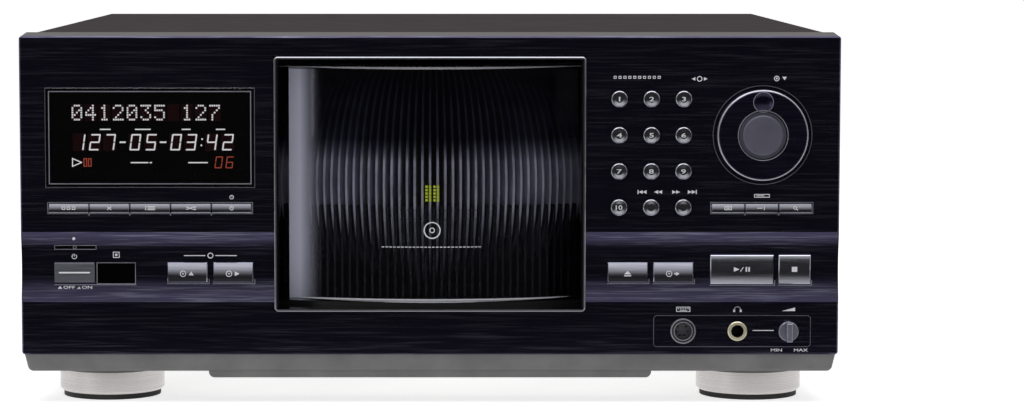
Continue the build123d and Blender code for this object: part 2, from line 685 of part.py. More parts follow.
def base_moulding():
    """Grey strip under the panel, drawn in at its lower ends, with a tab in the middle and a
    collar over each front foot."""
    half = PANEL_W / 2 - BASE_INSET
    ends = Polyline((-half, PANEL_BOTTOM), (half, PANEL_BOTTOM), (half - BASE_DRAW, FLOOR_Z),
                    (-half + BASE_DRAW, FLOOR_Z), close=True)
    strip = extrude(Plane.XZ * make_face(ends), amount=-(PANEL_DEEP - BASE_INSET))
    strip = Pos(0, deep(BASE_INSET), 0) * strip
    strip = fillet(strip.edges().filter_by(Axis.Y).group_by(Axis.Z)[0], BASE_CORNER)
    strip = fillet(strip.edges().group_by(Axis.Y)[0].sort_by(Axis.Z)[:-1], BASE_EDGE)
    tab = slab(-TAB_HALF_W, TAB_HALF_W, TAB_D0, TAB_D1, FLOOR_Z - TAB_DROP, FLOOR_Z + BASE_EDGE)
    tab = fillet(tab.edges().filter_by(Axis.Y).group_by(Axis.Z)[0], TAB_CORNER)
    moulding = strip + tab
    for x, y in foot_places()[::2]:
        moulding += Pos(x, y, FLOOR_Z - COLLAR_H / 2) * Cylinder(FOOT_R, COLLAR_H)
    return moulding


# ---------------------------------------------------------------- case
def cross_hole(side, d):
    """Screw hole through a side wall."""
    return Pos(side * COVER_W / 2, deep(d), FLOOR_TOP + SCREW_UP) * Rot(0, 90, 0) * Cylinder(SCREW_HOLE_R, 8)


def screw_depths():
    return (PANEL_DEEP + SCREW_INSET, AXIS_D, CASE_DEPTH - SCREW_INSET)


def top_cover():
    """Bonnet: one sheet folded down over both sides."""
    half = COVER_W / 2
    outer = slab(-half, half, PANEL_DEEP, CASE_DEPTH, FLOOR_Z, COVER_TOP)
    outer = fillet(outer.edges().filter_by(Axis.Y).group_by(Axis.Z)[-1], COVER_FOLD_R)
    cover = outer - slab(-half + SHEET, half - SHEET, PANEL_DEEP - OVER, CASE_DEPTH + OVER,
                         FLOOR_Z - OVER, COVER_Z)
    for side in (-1, 1):
        for d in screw_depths():
            cover -= cross_hole(side, d)
    return cover


def bottom_chassis():
    """Steel tray with side flanges, glide posts for the rack and posts for the main board."""
    half = COVER_W / 2 - SHEET
    tray = slab(-half, half, PANEL_DEEP, CASE_DEPTH - SHEET, FLOOR_Z, FLOOR_TOP)
    for side in (-1, 1):
        x0, x1 = sorted((side * half, side * (half - SHEET)))
        tray += slab(x0, x1, PANEL_DEEP, CASE_DEPTH - SHEET, FLOOR_Z, FLOOR_TOP + FLANGE_UP)
        for d in screw_depths():
            tray -= cross_hole(side, d)
    for angle in GLIDE_ANGLES:
        x, y = polar(RACK_R - GLIDE_INSET, angle)
        tray += rod_z(x, y, GLIDE_R, FLOOR_Z, DECK_Z - GLIDE_GAP)
    for x, y in main_board_posts():
        tray += rod_z(x, y, POST_R, FLOOR_Z, MAIN_BOARD_Z)
    return tray


def rack_guides():
    """The ring that the rack turns on, and the curved ledge that the door slides along."""
    outer = DECK_HOLE_R - BEARING_GAP
    bearing = ring_z(outer - BEARING_T, outer, FLOOR_TOP, DECK_TOP - BEARING_SINK)
    open_end, shut_end = 268 - DOOR_TRAVEL - CARRIER_END, 276 + DOOR_HALF_ANGLE
    ledge = sector(DOOR_OUT_R - TRACK_W, DOOR_OUT_R + 0.5, TRACK_Z, TRACK_Z + SHEET, open_end, shut_end)
    rib = DOOR_OUT_R - TRACK_W / 2
    behind_panel = math.degrees(math.acos((AXIS_D - PANEL_DEEP - OVER) / (DOOR_OUT_R + OVER)))
    for a0, a1 in ((open_end, 270 - behind_panel), (270 + behind_panel, shut_end)):
        ledge += sector(rib - SHEET, rib + SHEET, FLOOR_TOP, TRACK_Z + SHEET / 2, a0, a1)
    return [bearing, ledge]


def rear_panel():
    half = COVER_W / 2 - SHEET
    plate = slab(-half, half, CASE_DEPTH - SHEET, CASE_DEPTH, FLOOR_Z, COVER_Z)
    before, behind = CASE_DEPTH - SHEET - OVER, CASE_DEPTH + OVER
    for x in rca_places():
        plate -= rod_y(x, RCA_Z, RCA_BASE_R, before, behind)
    plate -= square_y(OPTICAL_X, RCA_Z, OPTICAL_W, OPTICAL_W, before, behind)
    return plate - square_y(INLET_X, INLET_Z, INLET_W, INLET_H, before, behind)


def square_y(x, z, width, height, d0, d1):
    """Block along Y about a centre in X and Z."""
    return slab(x - width / 2, x + width / 2, d0, d1, z - height / 2, z + height / 2)


def rca_places():
    return (RCA_X - RCA_STEP, RCA_X)


def rear_sockets():
    """Line-out pair and the optical socket."""
    lip = CASE_DEPTH + SOCKET_LIP
    sockets = []
    for x in rca_places():
        sleeve = rod_y(x, RCA_Z, RCA_R, lip, CASE_DEPTH + JACK_PROUD)
        sleeve = chamfer(sleeve.edges().group_by(Axis.Y)[-1], 0.4)
        jack = rod_y(x, RCA_Z, RCA_BASE_R, CASE_DEPTH - 8, lip) + sleeve
        sockets.append(jack - rod_y(x, RCA_Z, RCA_HOLE_R, CASE_DEPTH - 2, CASE_DEPTH + JACK_PROUD + OVER))
    block = square_y(OPTICAL_X, RCA_Z, OPTICAL_W, OPTICAL_W, CASE_DEPTH - 10, lip)
    port = square_y(OPTICAL_X, RCA_Z, OPTICAL_PORT, OPTICAL_PORT, CASE_DEPTH - 3, lip + OVER)
    sockets.append(block - port)
    return sockets


def power_inlet():
    """Two-pin mains inlet: a shroud with a round-ended recess."""
    body = square_y(INLET_X, INLET_Z, INLET_W, INLET_H, CASE_DEPTH - INLET_DEEP, CASE_DEPTH + INLET_PROUD)
    recess = extrude(Plane.XZ * SlotOverall(RECESS_W, RECESS_H), amount=RECESS_DEEP + 2)
    body -= Pos(INLET_X, deep(CASE_DEPTH + 2), INLET_Z) * recess
    for side in (-1, 1):
        body += rod_y(INLET_X + side * PIN_STEP / 2, INLET_Z, PIN_R, CASE_DEPTH - RECESS_DEEP - OVER,
                      CASE_DEPTH - PIN_END)
    return body


def foot_places():
    """Front and rear on the left, then on the right."""
    return [(x, deep(d)) for x in (-FOOT_X, FOOT_X) for d in (FOOT_D, CASE_DEPTH - FOOT_D)]


def foot(x, y, top):
    shell = Pos(x, y, (PAD_H + top) / 2) * Cylinder(FOOT_R, top - PAD_H)
    return chamfer(shell.edges().group_by(Axis.Z)[0], FOOT_EDGE)


def feet():
    """The front feet reach up to the base moulding's collars, the rear feet to the tray."""
    tops = (FLOOR_Z - COLLAR_H, FLOOR_Z) * 2
    return [foot(x, y, top) for (x, y), top in zip(foot_places(), tops)]


def foot_pads():
    return [Pos(x, y, PAD_H / 2) * Cylinder(PAD_R, PAD_H) for x, y in foot_places()]


# ---------------------------------------------------------------- electronics
def transformer():
    """Laminated core with its coil, in the rear left corner."""
    x0 = -COVER_W / 2 + SHEET + 4.0
    d1 = CASE_DEPTH - CORE_REAR
    d0 = d1 - CORE_L
    z0, z1 = FLOOR_TOP + CORE_LIMB, FLOOR_TOP + CORE_H - CORE_LIMB
    core = slab(x0, x0 + CORE_W, d0, d1, FLOOR_TOP, FLOOR_TOP + CORE_H)
    for window in (x0 + CORE_LIMB, x0 + CORE_W - CORE_LIMB - CORE_WINDOW):
        core -= slab(window, window + CORE_WINDOW, d0 - OVER, d1 + OVER, z0, z1)
    coil = slab(x0 + CORE_LIMB, x0 + CORE_W - CORE_LIMB, d0 - CORE_WINDOW, d1 + CORE_WINDOW, z0, z1)
    return core + fillet(coil.edges().filter_by(Axis.Z), CORE_WINDOW * 0.75)


def board_posts():
    left = (LEFT + POST_INSET, -FRAME_HALF_W - POST_OFFSET)
    right = (FRAME_HALF_W + POST_OFFSET, RIGHT - POST_INSET)
    z0, z1 = SCOOP_Z0 - 2, PANEL_TOP - POST_DROP
    return [(x, z) for x in (*left, *right) for z in (z0, z1)]


def board_corner():
    """Inner rear right corner of the case, from the rack's axis."""
    return COVER_W / 2 - 2 * SHEET, CASE_DEPTH - AXIS_D - SHEET


def main_board_posts():
    x, y = board_corner()
    x, y = x - MAIN_POST_EDGE, y - MAIN_POST_EDGE
    return [(x, y), (x, y - MAIN_POST_STEP), (x - MAIN_POST_STEP, y)]


def switch_places():
    rows = [*mode_row.values(), *title_row.values()]
    places = [((x0 + x1) / 2, SLIM_Z0 + SLIM_H / 2) for x0, x1 in rows]
    places += list(round_places.values())
    places += [((x0 + x1) / 2, z0 + height / 2) for x0, x1, z0, height in band_keys.values()]
    return [*places, (DIAL_X, DIAL_Z)]


def front_board(x0, x1, side):
    """Board behind one control field, with a switch behind each of its keys."""
    board = slab(x0, x1, BOARD_D, BOARD_D + BOARD_T, SCOOP_Z0 - BOARD_EDGE, PANEL_TOP - 8)
    for x, z in switch_places():
        if x * side > 0:
            board += square_y(x, z, SWITCH_W, SWITCH_W, SWITCH_D, BOARD_D + BOARD_T / 2)
    return board


def main_board():
    """Board in the rear right corner, cut round the door's path, with its capacitors and a chip."""
    x, y = board_corner()
    x, y = x - OVER, y - OVER
    top = MAIN_BOARD_Z + BOARD_T
    board = axis_block(x - MAIN_BOARD_W, x, y - MAIN_BOARD_L, y, MAIN_BOARD_Z, top)
    board -= rod_z(0, 0, DOOR_OUT_R + 3, MAIN_BOARD_Z - OVER, top + OVER)
    for dx, dy, r, height in ((13, 23, 5, 16), (13, 37, 5, 16), (27, 21, 4, 12)):
        board += rod_z(x - dx, y - dy, r, MAIN_BOARD_Z, top + height)
    return board + axis_block(x - 47, x - 33, y - 25, y - 11, MAIN_BOARD_Z, top + 2.5)


def circuit_boards():
    """Front boards, the dial's encoder, the level potentiometer and the main board."""
    left = front_board(LEFT + BOARD_EDGE, -FRAME_HALF_W - BOARD_EDGE - 2, -1)
    right = front_board(FRAME_HALF_W + BOARD_EDGE + 2, RIGHT - BOARD_EDGE, 1)
    encoder = dial_rod(DIAL_HUB_R + 5, PANEL_T + 4, BOARD_D + BOARD_T / 2)
    right += encoder - dial_rod(DIAL_HUB_R + COLLAR_STEP + 1, PANEL_T + 3, BOARD_D)
    pot = socket_body(KNOB_X, STEM_END + 2)
    pot -= rod_y(KNOB_X, SOCKET_Z, KNOB_SHAFT_R + RUN_GAP, 0, STEM_END + 0.5)
    return [left, right, pot, main_board()]


# ---------------------------------------------------------------- rack
def disc_rack():
    """Deck with its gear ring below."""
    deck = ring_z(DECK_HOLE_R, RACK_R - 1.0, DECK_Z, DECK_TOP)
    step = 360.0 / RACK_TEETH
    pitch_r = RACK_MODULE * RACK_TEETH / 2
    corners = tooth_points(RACK_MODULE, pitch_r, RACK_TEETH, RACK_PINION_ANGLE, step)
    teeth = make_face(Polyline(*corners, close=True))
    teeth -= Circle(pitch_r - TOOTH_DED * RACK_MODULE - GEAR_T)
    return deck + Pos(0, AXIS_Y, DECK_Z - GEAR_T) * extrude(teeth, amount=GEAR_T + DECK_T / 2)


def comb_ring():
    """Ring of upright fins, one on each side of every slot."""
    base_top = DECK_TOP + DISC_LIFT
    ring = ring_z(RACK_R - COMB_WIDTH, RACK_R, DECK_TOP, base_top + COMB_H)
    slot_angle = 360.0 / SLOT_COUNT
    slot = Pos(RACK_R - COMB_WIDTH / 2, 0, base_top + COMB_H / 2 + OVER)
    slot = slot * Box(COMB_WIDTH + 4, SLOT_PITCH - FIN_T, COMB_H + 2 * OVER)
    slots = [Pos(0, AXIS_Y, 0) * Rot(0, 0, i * slot_angle) * slot for i in range(SLOT_COUNT)]
    return ring - slots


def rack_comb():
    """The comb and the two seat rings that the discs stand on."""
    seat_top = DISC_Z - math.sqrt((DISC_D / 2) ** 2 - (SEAT_OFFSET - SEAT_T / 2) ** 2)
    seats = []
    for side in (-1, 1):
        r = DISC_RING_R + side * SEAT_OFFSET
        seats.append(ring_z(r - SEAT_T / 2, r + SEAT_T / 2, DECK_TOP, seat_top))
    return [comb_ring(), *seats]


def discs():
    """The discs in the slots that face the window."""
    outline = RegularPolygon(DISC_D / 2, DISC_SIDES) - RegularPolygon(DISC_HOLE_D / 2, HOLE_SIDES)
    disc = extrude(Plane.XZ * outline, amount=DISC_T / 2, both=True)
    slot_angle = 360.0 / SLOT_COUNT
    loaded = []
    for i in range(DISCS_IN_VIEW):
        angle = 270 + (i - (DISCS_IN_VIEW - 1) / 2) * slot_angle
        x, y = polar(DISC_RING_R, angle)
        loaded.append(Pos(x, AXIS_Y + y, DISC_Z) * Rot(0, 0, angle) * disc)
    return loaded


# ---------------------------------------------------------------- door and drives
def disc_door():
    """Smoked curved door, its neck and the toothed carrier that it rides on."""
    a0, a1 = 270 - DOOR_HALF_ANGLE, 270 + DOOR_HALF_ANGLE
    c = DOOR_CHAMFER
    profile = [(DOOR_IN_R, DOOR_Z0), (DOOR_OUT_R - c, DOOR_Z0), (DOOR_OUT_R, DOOR_Z0 + c),
               (DOOR_OUT_R, DOOR_Z1 - c), (DOOR_OUT_R - c, DOOR_Z1), (DOOR_IN_R, DOOR_Z1)]
    face = Plane.XZ * make_face(Polyline(*profile, close=True))
    pane = revolve(face, Axis.Z, 2 * DOOR_HALF_ANGLE)
    pane = Pos(0, AXIS_Y, 0) * Rot(0, 0, a0) * pane
    neck_z0 = CARRIER_Z + CARRIER_T - 0.5
    return pane + sector(DOOR_IN_R, DOOR_IN_R + DOOR_NECK_T, neck_z0, DOOR_Z0 + 0.2, a0, a1) + door_carrier()


def door_carrier():
    """Arc with inner teeth that reaches past the door on the side that it opens to."""
    step = 360.0 / DOOR_TEETH
    pitch_r = DOOR_MODULE * DOOR_TEETH / 2
    before = math.floor((DOOR_PINION_ANGLE - (270 - CARRIER_END)) / step)
    after = math.floor((270 + DOOR_HALF_ANGLE - DOOR_PINION_ANGLE) / step)
    start = DOOR_PINION_ANGLE - before * step
    count = before + after + 1
    corners = tooth_points(DOOR_MODULE, pitch_r, count, start, step, outward=-1)
    a0, a1 = start - step / 2, start + (count - 0.5) * step
    root = pitch_r + TOOTH_DED * DOOR_MODULE
    edge = [polar(DOOR_OUT_R, a0), polar(root, a0), *corners, polar(root, a1), polar(DOOR_OUT_R, a1)]
    outer = CenterArc((0, 0), DOOR_OUT_R, a0, a1 - a0)
    face = make_face([*Polyline(*edge).edges(), *outer.edges()])
    return Pos(0, AXIS_Y, CARRIER_Z) * extrude(face, amount=CARRIER_T)


def door_pinion_place():
    return polar(DOOR_MODULE * (DOOR_TEETH - DOOR_PINION_TEETH) / 2, DOOR_PINION_ANGLE)


def rack_pinion_place():
    return polar(RACK_MODULE * (RACK_TEETH + RACK_PINION_TEETH) / 2, RACK_PINION_ANGLE)


def door_pinion():
    x, y = door_pinion_place()
    z0, z1 = CARRIER_Z + PINION_INSET, CARRIER_Z + CARRIER_T - PINION_INSET
    gear = pinion(DOOR_MODULE, DOOR_PINION_TEETH, x, y, z0, z1, DOOR_PINION_ANGLE)
    return gear + rod_z(x, y, SHAFT_R, DOOR_MOTOR_TOP - SHAFT_IN, z0 + OVER)


def rack_pinion():
    x, y = rack_pinion_place()
    z0 = DECK_Z - GEAR_T
    gear = pinion(RACK_MODULE, RACK_PINION_TEETH, x, y, z0, DECK_Z - PINION_INSET, RACK_PINION_ANGLE + 180)
    return gear + rod_z(x, y, SHAFT_R, RACK_MOTOR_TOP - SHAFT_IN, z0 + OVER)


def motor_can(place, r, top):
    """Motor with a bore for its shaft."""
    x, y = place
    can = rod_z(x, y, r, FLOOR_TOP, top)
    can = chamfer(can.edges().group_by(Axis.Z)[-1], 0.8)
    return can - rod_z(x, y, SHAFT_R + RUN_GAP, top - SHAFT_IN - 0.5, top + OVER)


def drive_motors():
    """Door motor at the front left, rack motor under the deck."""
    return [motor_can(door_pinion_place(), DOOR_MOTOR_R, DOOR_MOTOR_TOP),
            motor_can(rack_pinion_place(), RACK_MOTOR_R, RACK_MOTOR_TOP)]


# ---------------------------------------------------------------- player
def plate_bore(y, z, r):
    """Hole through the upright plate."""
    return rod_x(y, z, r, PLATE_X - OVER, PLATE_X + PLATE_T + OVER)


def upright_plate():
    plate = axis_block(PLATE_X, PLATE_X + PLATE_T, -PLATE_HALF, PLATE_HALF, FLOOR_TOP + PLAYER_BASE_T / 2,
                       DISC_Z + PLATE_HALF)
    low = DISC_Z - LENS_START - PICKUP_TRAVEL - LENS_R - 2.4
    plate -= axis_block(PLATE_X - OVER, PLATE_X + PLATE_T + OVER, -LENS_SLOT_HALF, LENS_SLOT_HALF,
                        low, DISC_Z - LENS_START + LENS_R + 2.4)
    for y in (-PLATE_HOLE_Y, PLATE_HOLE_Y):
        plate -= plate_bore(y, DISC_Z + PLATE_HOLE_UP, PLATE_HOLE_R)
    return plate - plate_bore(0, DISC_Z, SHAFT_R + RUN_GAP)


def player_chassis():
    """Base inside the rack's hole, upright plate, spindle motor, the pickup's rods and the pivots' lugs."""
    body = rod_z(0, 0, DECK_HOLE_R - PLAYER_BASE_GAP, FLOOR_TOP, FLOOR_TOP + PLAYER_BASE_T)
    body += upright_plate()
    back = PLATE_X + PLATE_T
    motor = rod_x(0, DISC_Z, SPINDLE_MOTOR_R, back, back + SPINDLE_MOTOR_L)
    body += motor - rod_x(0, DISC_Z, SHAFT_R + RUN_GAP, PLATE_X, back + SHAFT_IN + OVER)
    for y in (-ROD_SPREAD, ROD_SPREAD):
        body += rod_z(ROD_X, y, ROD_R, FLOOR_TOP + PLAYER_BASE_T / 2, ROD_TOP)
        body += axis_block(back - 0.5, ROD_X + ROD_CLIP, y - ROD_CLIP, y + ROD_CLIP, ROD_TOP - 2, ROD_TOP + 2)
    y_pin = PLATE_HALF - ARM_PIN_INSET
    reach = ARM_H / 2 + LUG_GAP
    for z in (DISC_Z - reach - LUG_T, DISC_Z + reach):
        body += axis_block(ARM_PIN_X - LUG_T, PLATE_X + 0.5, y_pin - 3.5, y_pin + 3.5, z, z + LUG_T)
    return body - clamp_pin(RUN_GAP) - loading_pin(RUN_GAP)


def clamp_pin(extra=0.0):
    """Upright pivot of the clamp arm."""
    reach = ARM_H / 2 + LUG_GAP + LUG_T
    return rod_z(ARM_PIN_X, PLATE_HALF - ARM_PIN_INSET, SHAFT_R + extra, DISC_Z - reach, DISC_Z + reach)


def loading_pin(extra=0.0):
    """Cross pivot of the loading arm, in the upright plate."""
    return rod_x(LEVER_Y, DECK_TOP + LEVER_UP, LEVER_PIN_R + extra, LEVER_X, PLATE_X + PLATE_T + OVER)


def spindle():
    """Turntable with its centring boss, on the motor's shaft."""
    table = rod_x(0, DISC_Z, TABLE_R, TABLE_X0, TABLE_X1)
    boss = rod_x(0, DISC_Z, DISC_HOLE_D / 2 - 0.2, -TABLE_X0, TABLE_X0)
    boss = chamfer(boss.edges().group_by(Axis.X)[0], 0.8)
    return table + boss + rod_x(0, DISC_Z, SHAFT_R, TABLE_X1, PLATE_X + PLATE_T + SHAFT_IN)


def pickup():
    """Sled on the two rods, with the lens that looks through the plate's slot."""
    z = DISC_Z - LENS_START
    reach = ROD_SPREAD + SLED_HALF_T
    sled = axis_block(ROD_X - SLED_HALF_T, ROD_X + SLED_HALF_T, -reach, reach,
                      z - SLED_HALF_H, z + SLED_HALF_H)
    for y in (-ROD_SPREAD, ROD_SPREAD):
        sled -= rod_z(ROD_X, y, ROD_R + RUN_GAP, z - SLED_HALF_H - OVER, z + SLED_HALF_H + OVER)
    return sled + rod_x(0, z, LENS_R, TABLE_X1 - 1.4, ROD_X - SLED_HALF_T + 0.5)


def clamp_arm():
    """Arm with the clamping puck, on an upright pin at its far end."""
    y_pin = PLATE_HALF - ARM_PIN_INSET
    z0, z1 = DISC_Z - ARM_H / 2, DISC_Z + ARM_H / 2
    arm = axis_block(ARM_PIN_X - ARM_HALF_T, ARM_PIN_X + ARM_HALF_T, -6, y_pin, z0, z1)
    barrel = rod_z(ARM_PIN_X, y_pin, SHAFT_R + 1.7, z0, z1)
    puck = rod_x(0, DISC_Z, TABLE_R - 1, ARM_PIN_X + ARM_HALF_T - 0.1, ARM_PIN_X + ARM_HALF_T + 2.9)
    return arm + barrel + puck + clamp_pin()


def loading_arm():
    """Lever that carries the disc between the rack and the turntable."""
    z = DECK_TOP + LEVER_UP
    arm = axis_block(LEVER_X, LEVER_X + 2, LEVER_Y - LEVER_R, LEVER_Y + LEVER_R, z, z + LEVER_L)
    arm += rod_x(LEVER_Y, z, LEVER_R, LEVER_X, LEVER_X + 2)
    arm += rod_x(LEVER_Y, z + LEVER_L, LEVER_R, LEVER_X - 2, LEVER_X + 2)
    return arm + loading_pin()


# ---------------------------------------------------------------- write
def key_nodes():
    nodes = {}
    slim_bow = crowned(SLIM_Z0, SLIM_Z0 + SLIM_H, -KEY_PROUD, SLIM_DROP)
    for name, (x0, x1) in {**mode_row, **title_row}.items():
        nodes[name] = key_cap(x0, x1, SLIM_Z0, SLIM_Z0 + SLIM_H, slim_bow, PANEL_T, 0.0)
    for name, (x, z) in round_places.items():
        nodes[name] = round_key(x, z)
    for name, (x0, x1, z0, height) in band_keys.items():
        if height == TALL_KEY_H:
            bow = dished(z0, z0 + height, BAND_KEY_FACE, TALL_KEY_SINK)
        else:
            bow = crowned(z0, z0 + height, BAND_KEY_FACE, BAND_KEY_DROP)
        nodes[name] = key_cap(x0, x1, z0, z0 + height, bow, SCOOP_BACK)
    nodes["power_button"] = power_button()
    return nodes


pieces = [
    front_panel, window_frame, display_window, display_module, front_lenses, jog_dial, jog_button,
    level_knob, phones_jack, keyboard_socket, base_moulding, top_cover, bottom_chassis, rack_guides,
    rear_panel, rear_sockets, power_inlet, feet, foot_pads, transformer, circuit_boards, disc_rack,
    rack_comb, discs, disc_door, door_pinion, rack_pinion, drive_motors, player_chassis, spindle,
    pickup, clamp_arm, loading_arm,
]
nodes = {piece.__name__: piece() for piece in pieces} | key_nodes()

os.makedirs("parts", exist_ok=True)
for node, shape in nodes.items():
    if isinstance(shape, list):
        shape = Compound(children=shape)
    export_step(shape, f"parts/{node}.step")
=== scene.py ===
import bpy
import math
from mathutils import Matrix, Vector


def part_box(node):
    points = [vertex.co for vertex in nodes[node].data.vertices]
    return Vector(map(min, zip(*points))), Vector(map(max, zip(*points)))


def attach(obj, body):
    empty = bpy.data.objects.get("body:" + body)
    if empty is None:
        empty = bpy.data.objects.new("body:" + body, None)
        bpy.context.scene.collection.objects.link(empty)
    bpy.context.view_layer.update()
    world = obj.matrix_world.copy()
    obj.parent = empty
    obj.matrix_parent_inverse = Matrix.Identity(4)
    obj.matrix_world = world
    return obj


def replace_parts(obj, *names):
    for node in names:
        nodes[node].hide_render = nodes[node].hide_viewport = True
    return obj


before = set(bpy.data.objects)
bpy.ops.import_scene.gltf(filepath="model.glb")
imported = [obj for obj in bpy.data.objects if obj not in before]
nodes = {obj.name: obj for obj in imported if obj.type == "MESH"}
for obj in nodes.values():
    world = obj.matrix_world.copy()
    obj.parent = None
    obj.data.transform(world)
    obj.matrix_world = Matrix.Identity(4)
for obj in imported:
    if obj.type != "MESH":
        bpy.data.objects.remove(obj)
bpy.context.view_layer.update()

MM = 0.001
scene = bpy.context.scene


# -------- places, read from the frame
def centre(node):
    low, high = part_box(node)
    return (low + high) / 2


def front_of(node):
    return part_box(node)[0].y


FACE_Y = front_of("front_panel")          # the front panel's face
PANEL_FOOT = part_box("front_panel")[0].z
LENS_LOW, LENS_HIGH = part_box("display_window")
DOOR_LOW, DOOR_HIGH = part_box("disc_door")
FRAME_LOW, FRAME_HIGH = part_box("window_frame")
DISCS_LOW, DISCS_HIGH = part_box("discs")
AXIS_Y = centre("rack_comb").y            # the rack's axis stands at x = 0
DOOR_R = AXIS_Y - DOOR_LOW.y
DOOR_T = 2.0 * MM
DISC_Z = centre("discs").z
DISC_R = (DISCS_HIGH.z - DISCS_LOW.z) / 2
DISC_RING_R = AXIS_Y - (DISCS_LOW.y + DISC_R)
SLOTS = 300

SCOOP_LOW_Z = PANEL_FOOT + 27.2 * MM      # the band that is hollowed right across the panel
SCOOP_HIGH_Z = PANEL_FOOT + 63.3 * MM
SCOOP_SINK = 3.0 * MM
BAND_KEY_Y = FACE_Y + 0.5 * MM            # lower edge of the keys in the band
BAND_KEY_DROP = 1.4 * MM                  # they lean back this much to their upper edge
SLIM_KEY_Y = FACE_Y - 0.9 * MM
SLIM_KEY_DROP = 0.75 * MM
TALL_KEY_MIDDLE = FACE_Y + 1.38 * MM      # deepest part of the play and stop keys
FLANGE = 0.8 * MM                         # the keys' flanges reach this far past their faces
BAND_PRINT = 0.2 * MM                     # prints in the band stand clear of its facets


def arc_radius(chord, sink):
    return (chord ** 2 / 4 + sink ** 2) / (2 * sink)


def scoop_y(x, z):
    """The band's surface."""
    radius = arc_radius(SCOOP_HIGH_Z - SCOOP_LOW_Z, SCOOP_SINK)
    off = z - (SCOOP_HIGH_Z + SCOOP_LOW_Z) / 2
    return FACE_Y + SCOOP_SINK - radius + math.sqrt(radius ** 2 - off ** 2)


def leaning_face(y, z0, z1, drop):
    """Surface of a key that stands upright at z0 and leans back to z1."""
    radius = arc_radius(2 * (z1 - z0), drop)
    return lambda x, z: y + radius - math.sqrt(radius ** 2 - (z - z0) ** 2)


def door_y(x, z):
    """The door's outer face."""
    return AXIS_Y - math.sqrt(DOOR_R ** 2 - x ** 2)


def door_back_y(x, z):
    """Just behind the door."""
    return AXIS_Y - math.sqrt((DOOR_R - DOOR_T) ** 2 - x ** 2) + 0.05 * MM


# -------- materials
def shader_of(mat):
    return mat.node_tree.nodes["Principled BSDF"]


def principled(name, color, rough, metal=0.0, **sockets):
    mat = bpy.data.materials.new(name)
    mat.use_nodes = True
    shader = shader_of(mat)
    shader.inputs["Base Color"].default_value = (*color, 1.0)
    shader.inputs["Roughness"].default_value = rough
    shader.inputs["Metallic"].default_value = metal
    for socket, value in sockets.items():
        shader.inputs[socket.replace("_", " ")].default_value = value
    return mat


def add(mat, kind, **values):
    """A shader node of a material or the world, its sockets and properties set by name."""
    made = mat.node_tree.nodes.new(kind)
    for name, value in values.items():
        socket = name.replace("_", " ")
        if socket in made.inputs:
            made.inputs[socket].default_value = value
        else:
            setattr(made, name, value)
    return made


def join(mat, out, into):
    mat.node_tree.links.new(out, into)


def noise(mat, scale, detail=3.0, stretch=(1.0, 1.0, 1.0)):
    """Noise in the piece's own coordinates; scale counts features per metre."""
    place = add(mat, "ShaderNodeTexCoord")
    mapping = add(mat, "ShaderNodeMapping", Scale=stretch)
    texture = add(mat, "ShaderNodeTexNoise", Scale=scale, Detail=detail)
    join(mat, place.outputs["Object"], mapping.inputs["Vector"])
    join(mat, mapping.outputs["Vector"], texture.inputs["Vector"])
    return texture.outputs["Fac"]


def spread(mat, fac, low, high, from_low=0.3, from_high=0.7):
    made = add(mat, "ShaderNodeMapRange", From_Min=from_low, From_Max=from_high, To_Min=low, To_Max=high)
    join(mat, fac, made.inputs["Value"])
    return made.outputs["Result"]


def math_node(mat, operation, first, second=0.0):
    """One operation; either side may be a number or another node's output."""
    made = add(mat, "ShaderNodeMath", operation=operation)
    for slot, value in enumerate((first, second)):
        if isinstance(value, (int, float)):
            made.inputs[slot].default_value = value
        else:
            join(mat, value, made.inputs[slot])
    return made.outputs[0]


def bump(mat, height, strength, distance):
    made = add(mat, "ShaderNodeBump", Strength=strength, Distance=distance)
    join(mat, height, made.inputs["Height"])
    join(mat, made.outputs["Normal"], shader_of(mat).inputs["Normal"])


def tint(mat, fac, low_color, high_color, low=0.3, high=0.7):
    made = add(mat, "ShaderNodeValToRGB")
    join(mat, fac, made.inputs["Fac"])
    first, last = made.color_ramp.elements
    first.position, last.position = low, high
    first.color, last.color = (*low_color, 1.0), (*high_color, 1.0)
    join(mat, made.outputs["Color"], shader_of(mat).inputs["Base Color"])


def rough_by(mat, fac, low, high):
    join(mat, spread(mat, fac, low, high), shader_of(mat).inputs["Roughness"])


def moulded(name, color, rough, grain=2500.0, depth=0.02, metal=0.0, **sockets):
    """Moulded or painted piece: fine grain and slight unevenness."""
    mat = principled(name, color, rough, metal, **sockets)
    broad = noise(mat, 60.0, 4.0)
    tint(mat, broad, tuple(c * 0.86 for c in color), tuple(min(c * 1.14, 1.0) for c in color))
    rough_by(mat, broad, rough * 0.9, min(rough * 1.12, 1.0))
    bump(mat, noise(mat, grain, 2.0), 0.25, depth * MM)
    return mat


def brushed(name, dark, light, rough, metal, along, across, depth, spot=(0.42, 0.68)):
    """Hairlines: long features in X, fine ones in the other directions, counted per metre."""
    mat = principled(name, dark, rough, metal)
    hair = noise(mat, 1.0, 5.0, (along, across, across))
    streak = noise(mat, 1.0, 3.0, (along * 0.4, across * 0.45, across * 0.45))
    both = math_node(mat, "ADD", math_node(mat, "MULTIPLY", hair, 0.55),
                     math_node(mat, "MULTIPLY", streak, 0.45))
    tint(mat, both, dark, light, *spot)
    rough_by(mat, hair, rough * 0.8, rough * 1.2)
    bump(mat, hair, 0.5, depth * MM)
    return mat


def glow(name, color, strength):
    mat = principled(name, tuple(c * 0.1 for c in color), 0.5)
    shader_of(mat).inputs["Emission Color"].default_value = (*color, 1.0)
    shader_of(mat).inputs["Emission Strength"].default_value = strength
    return mat


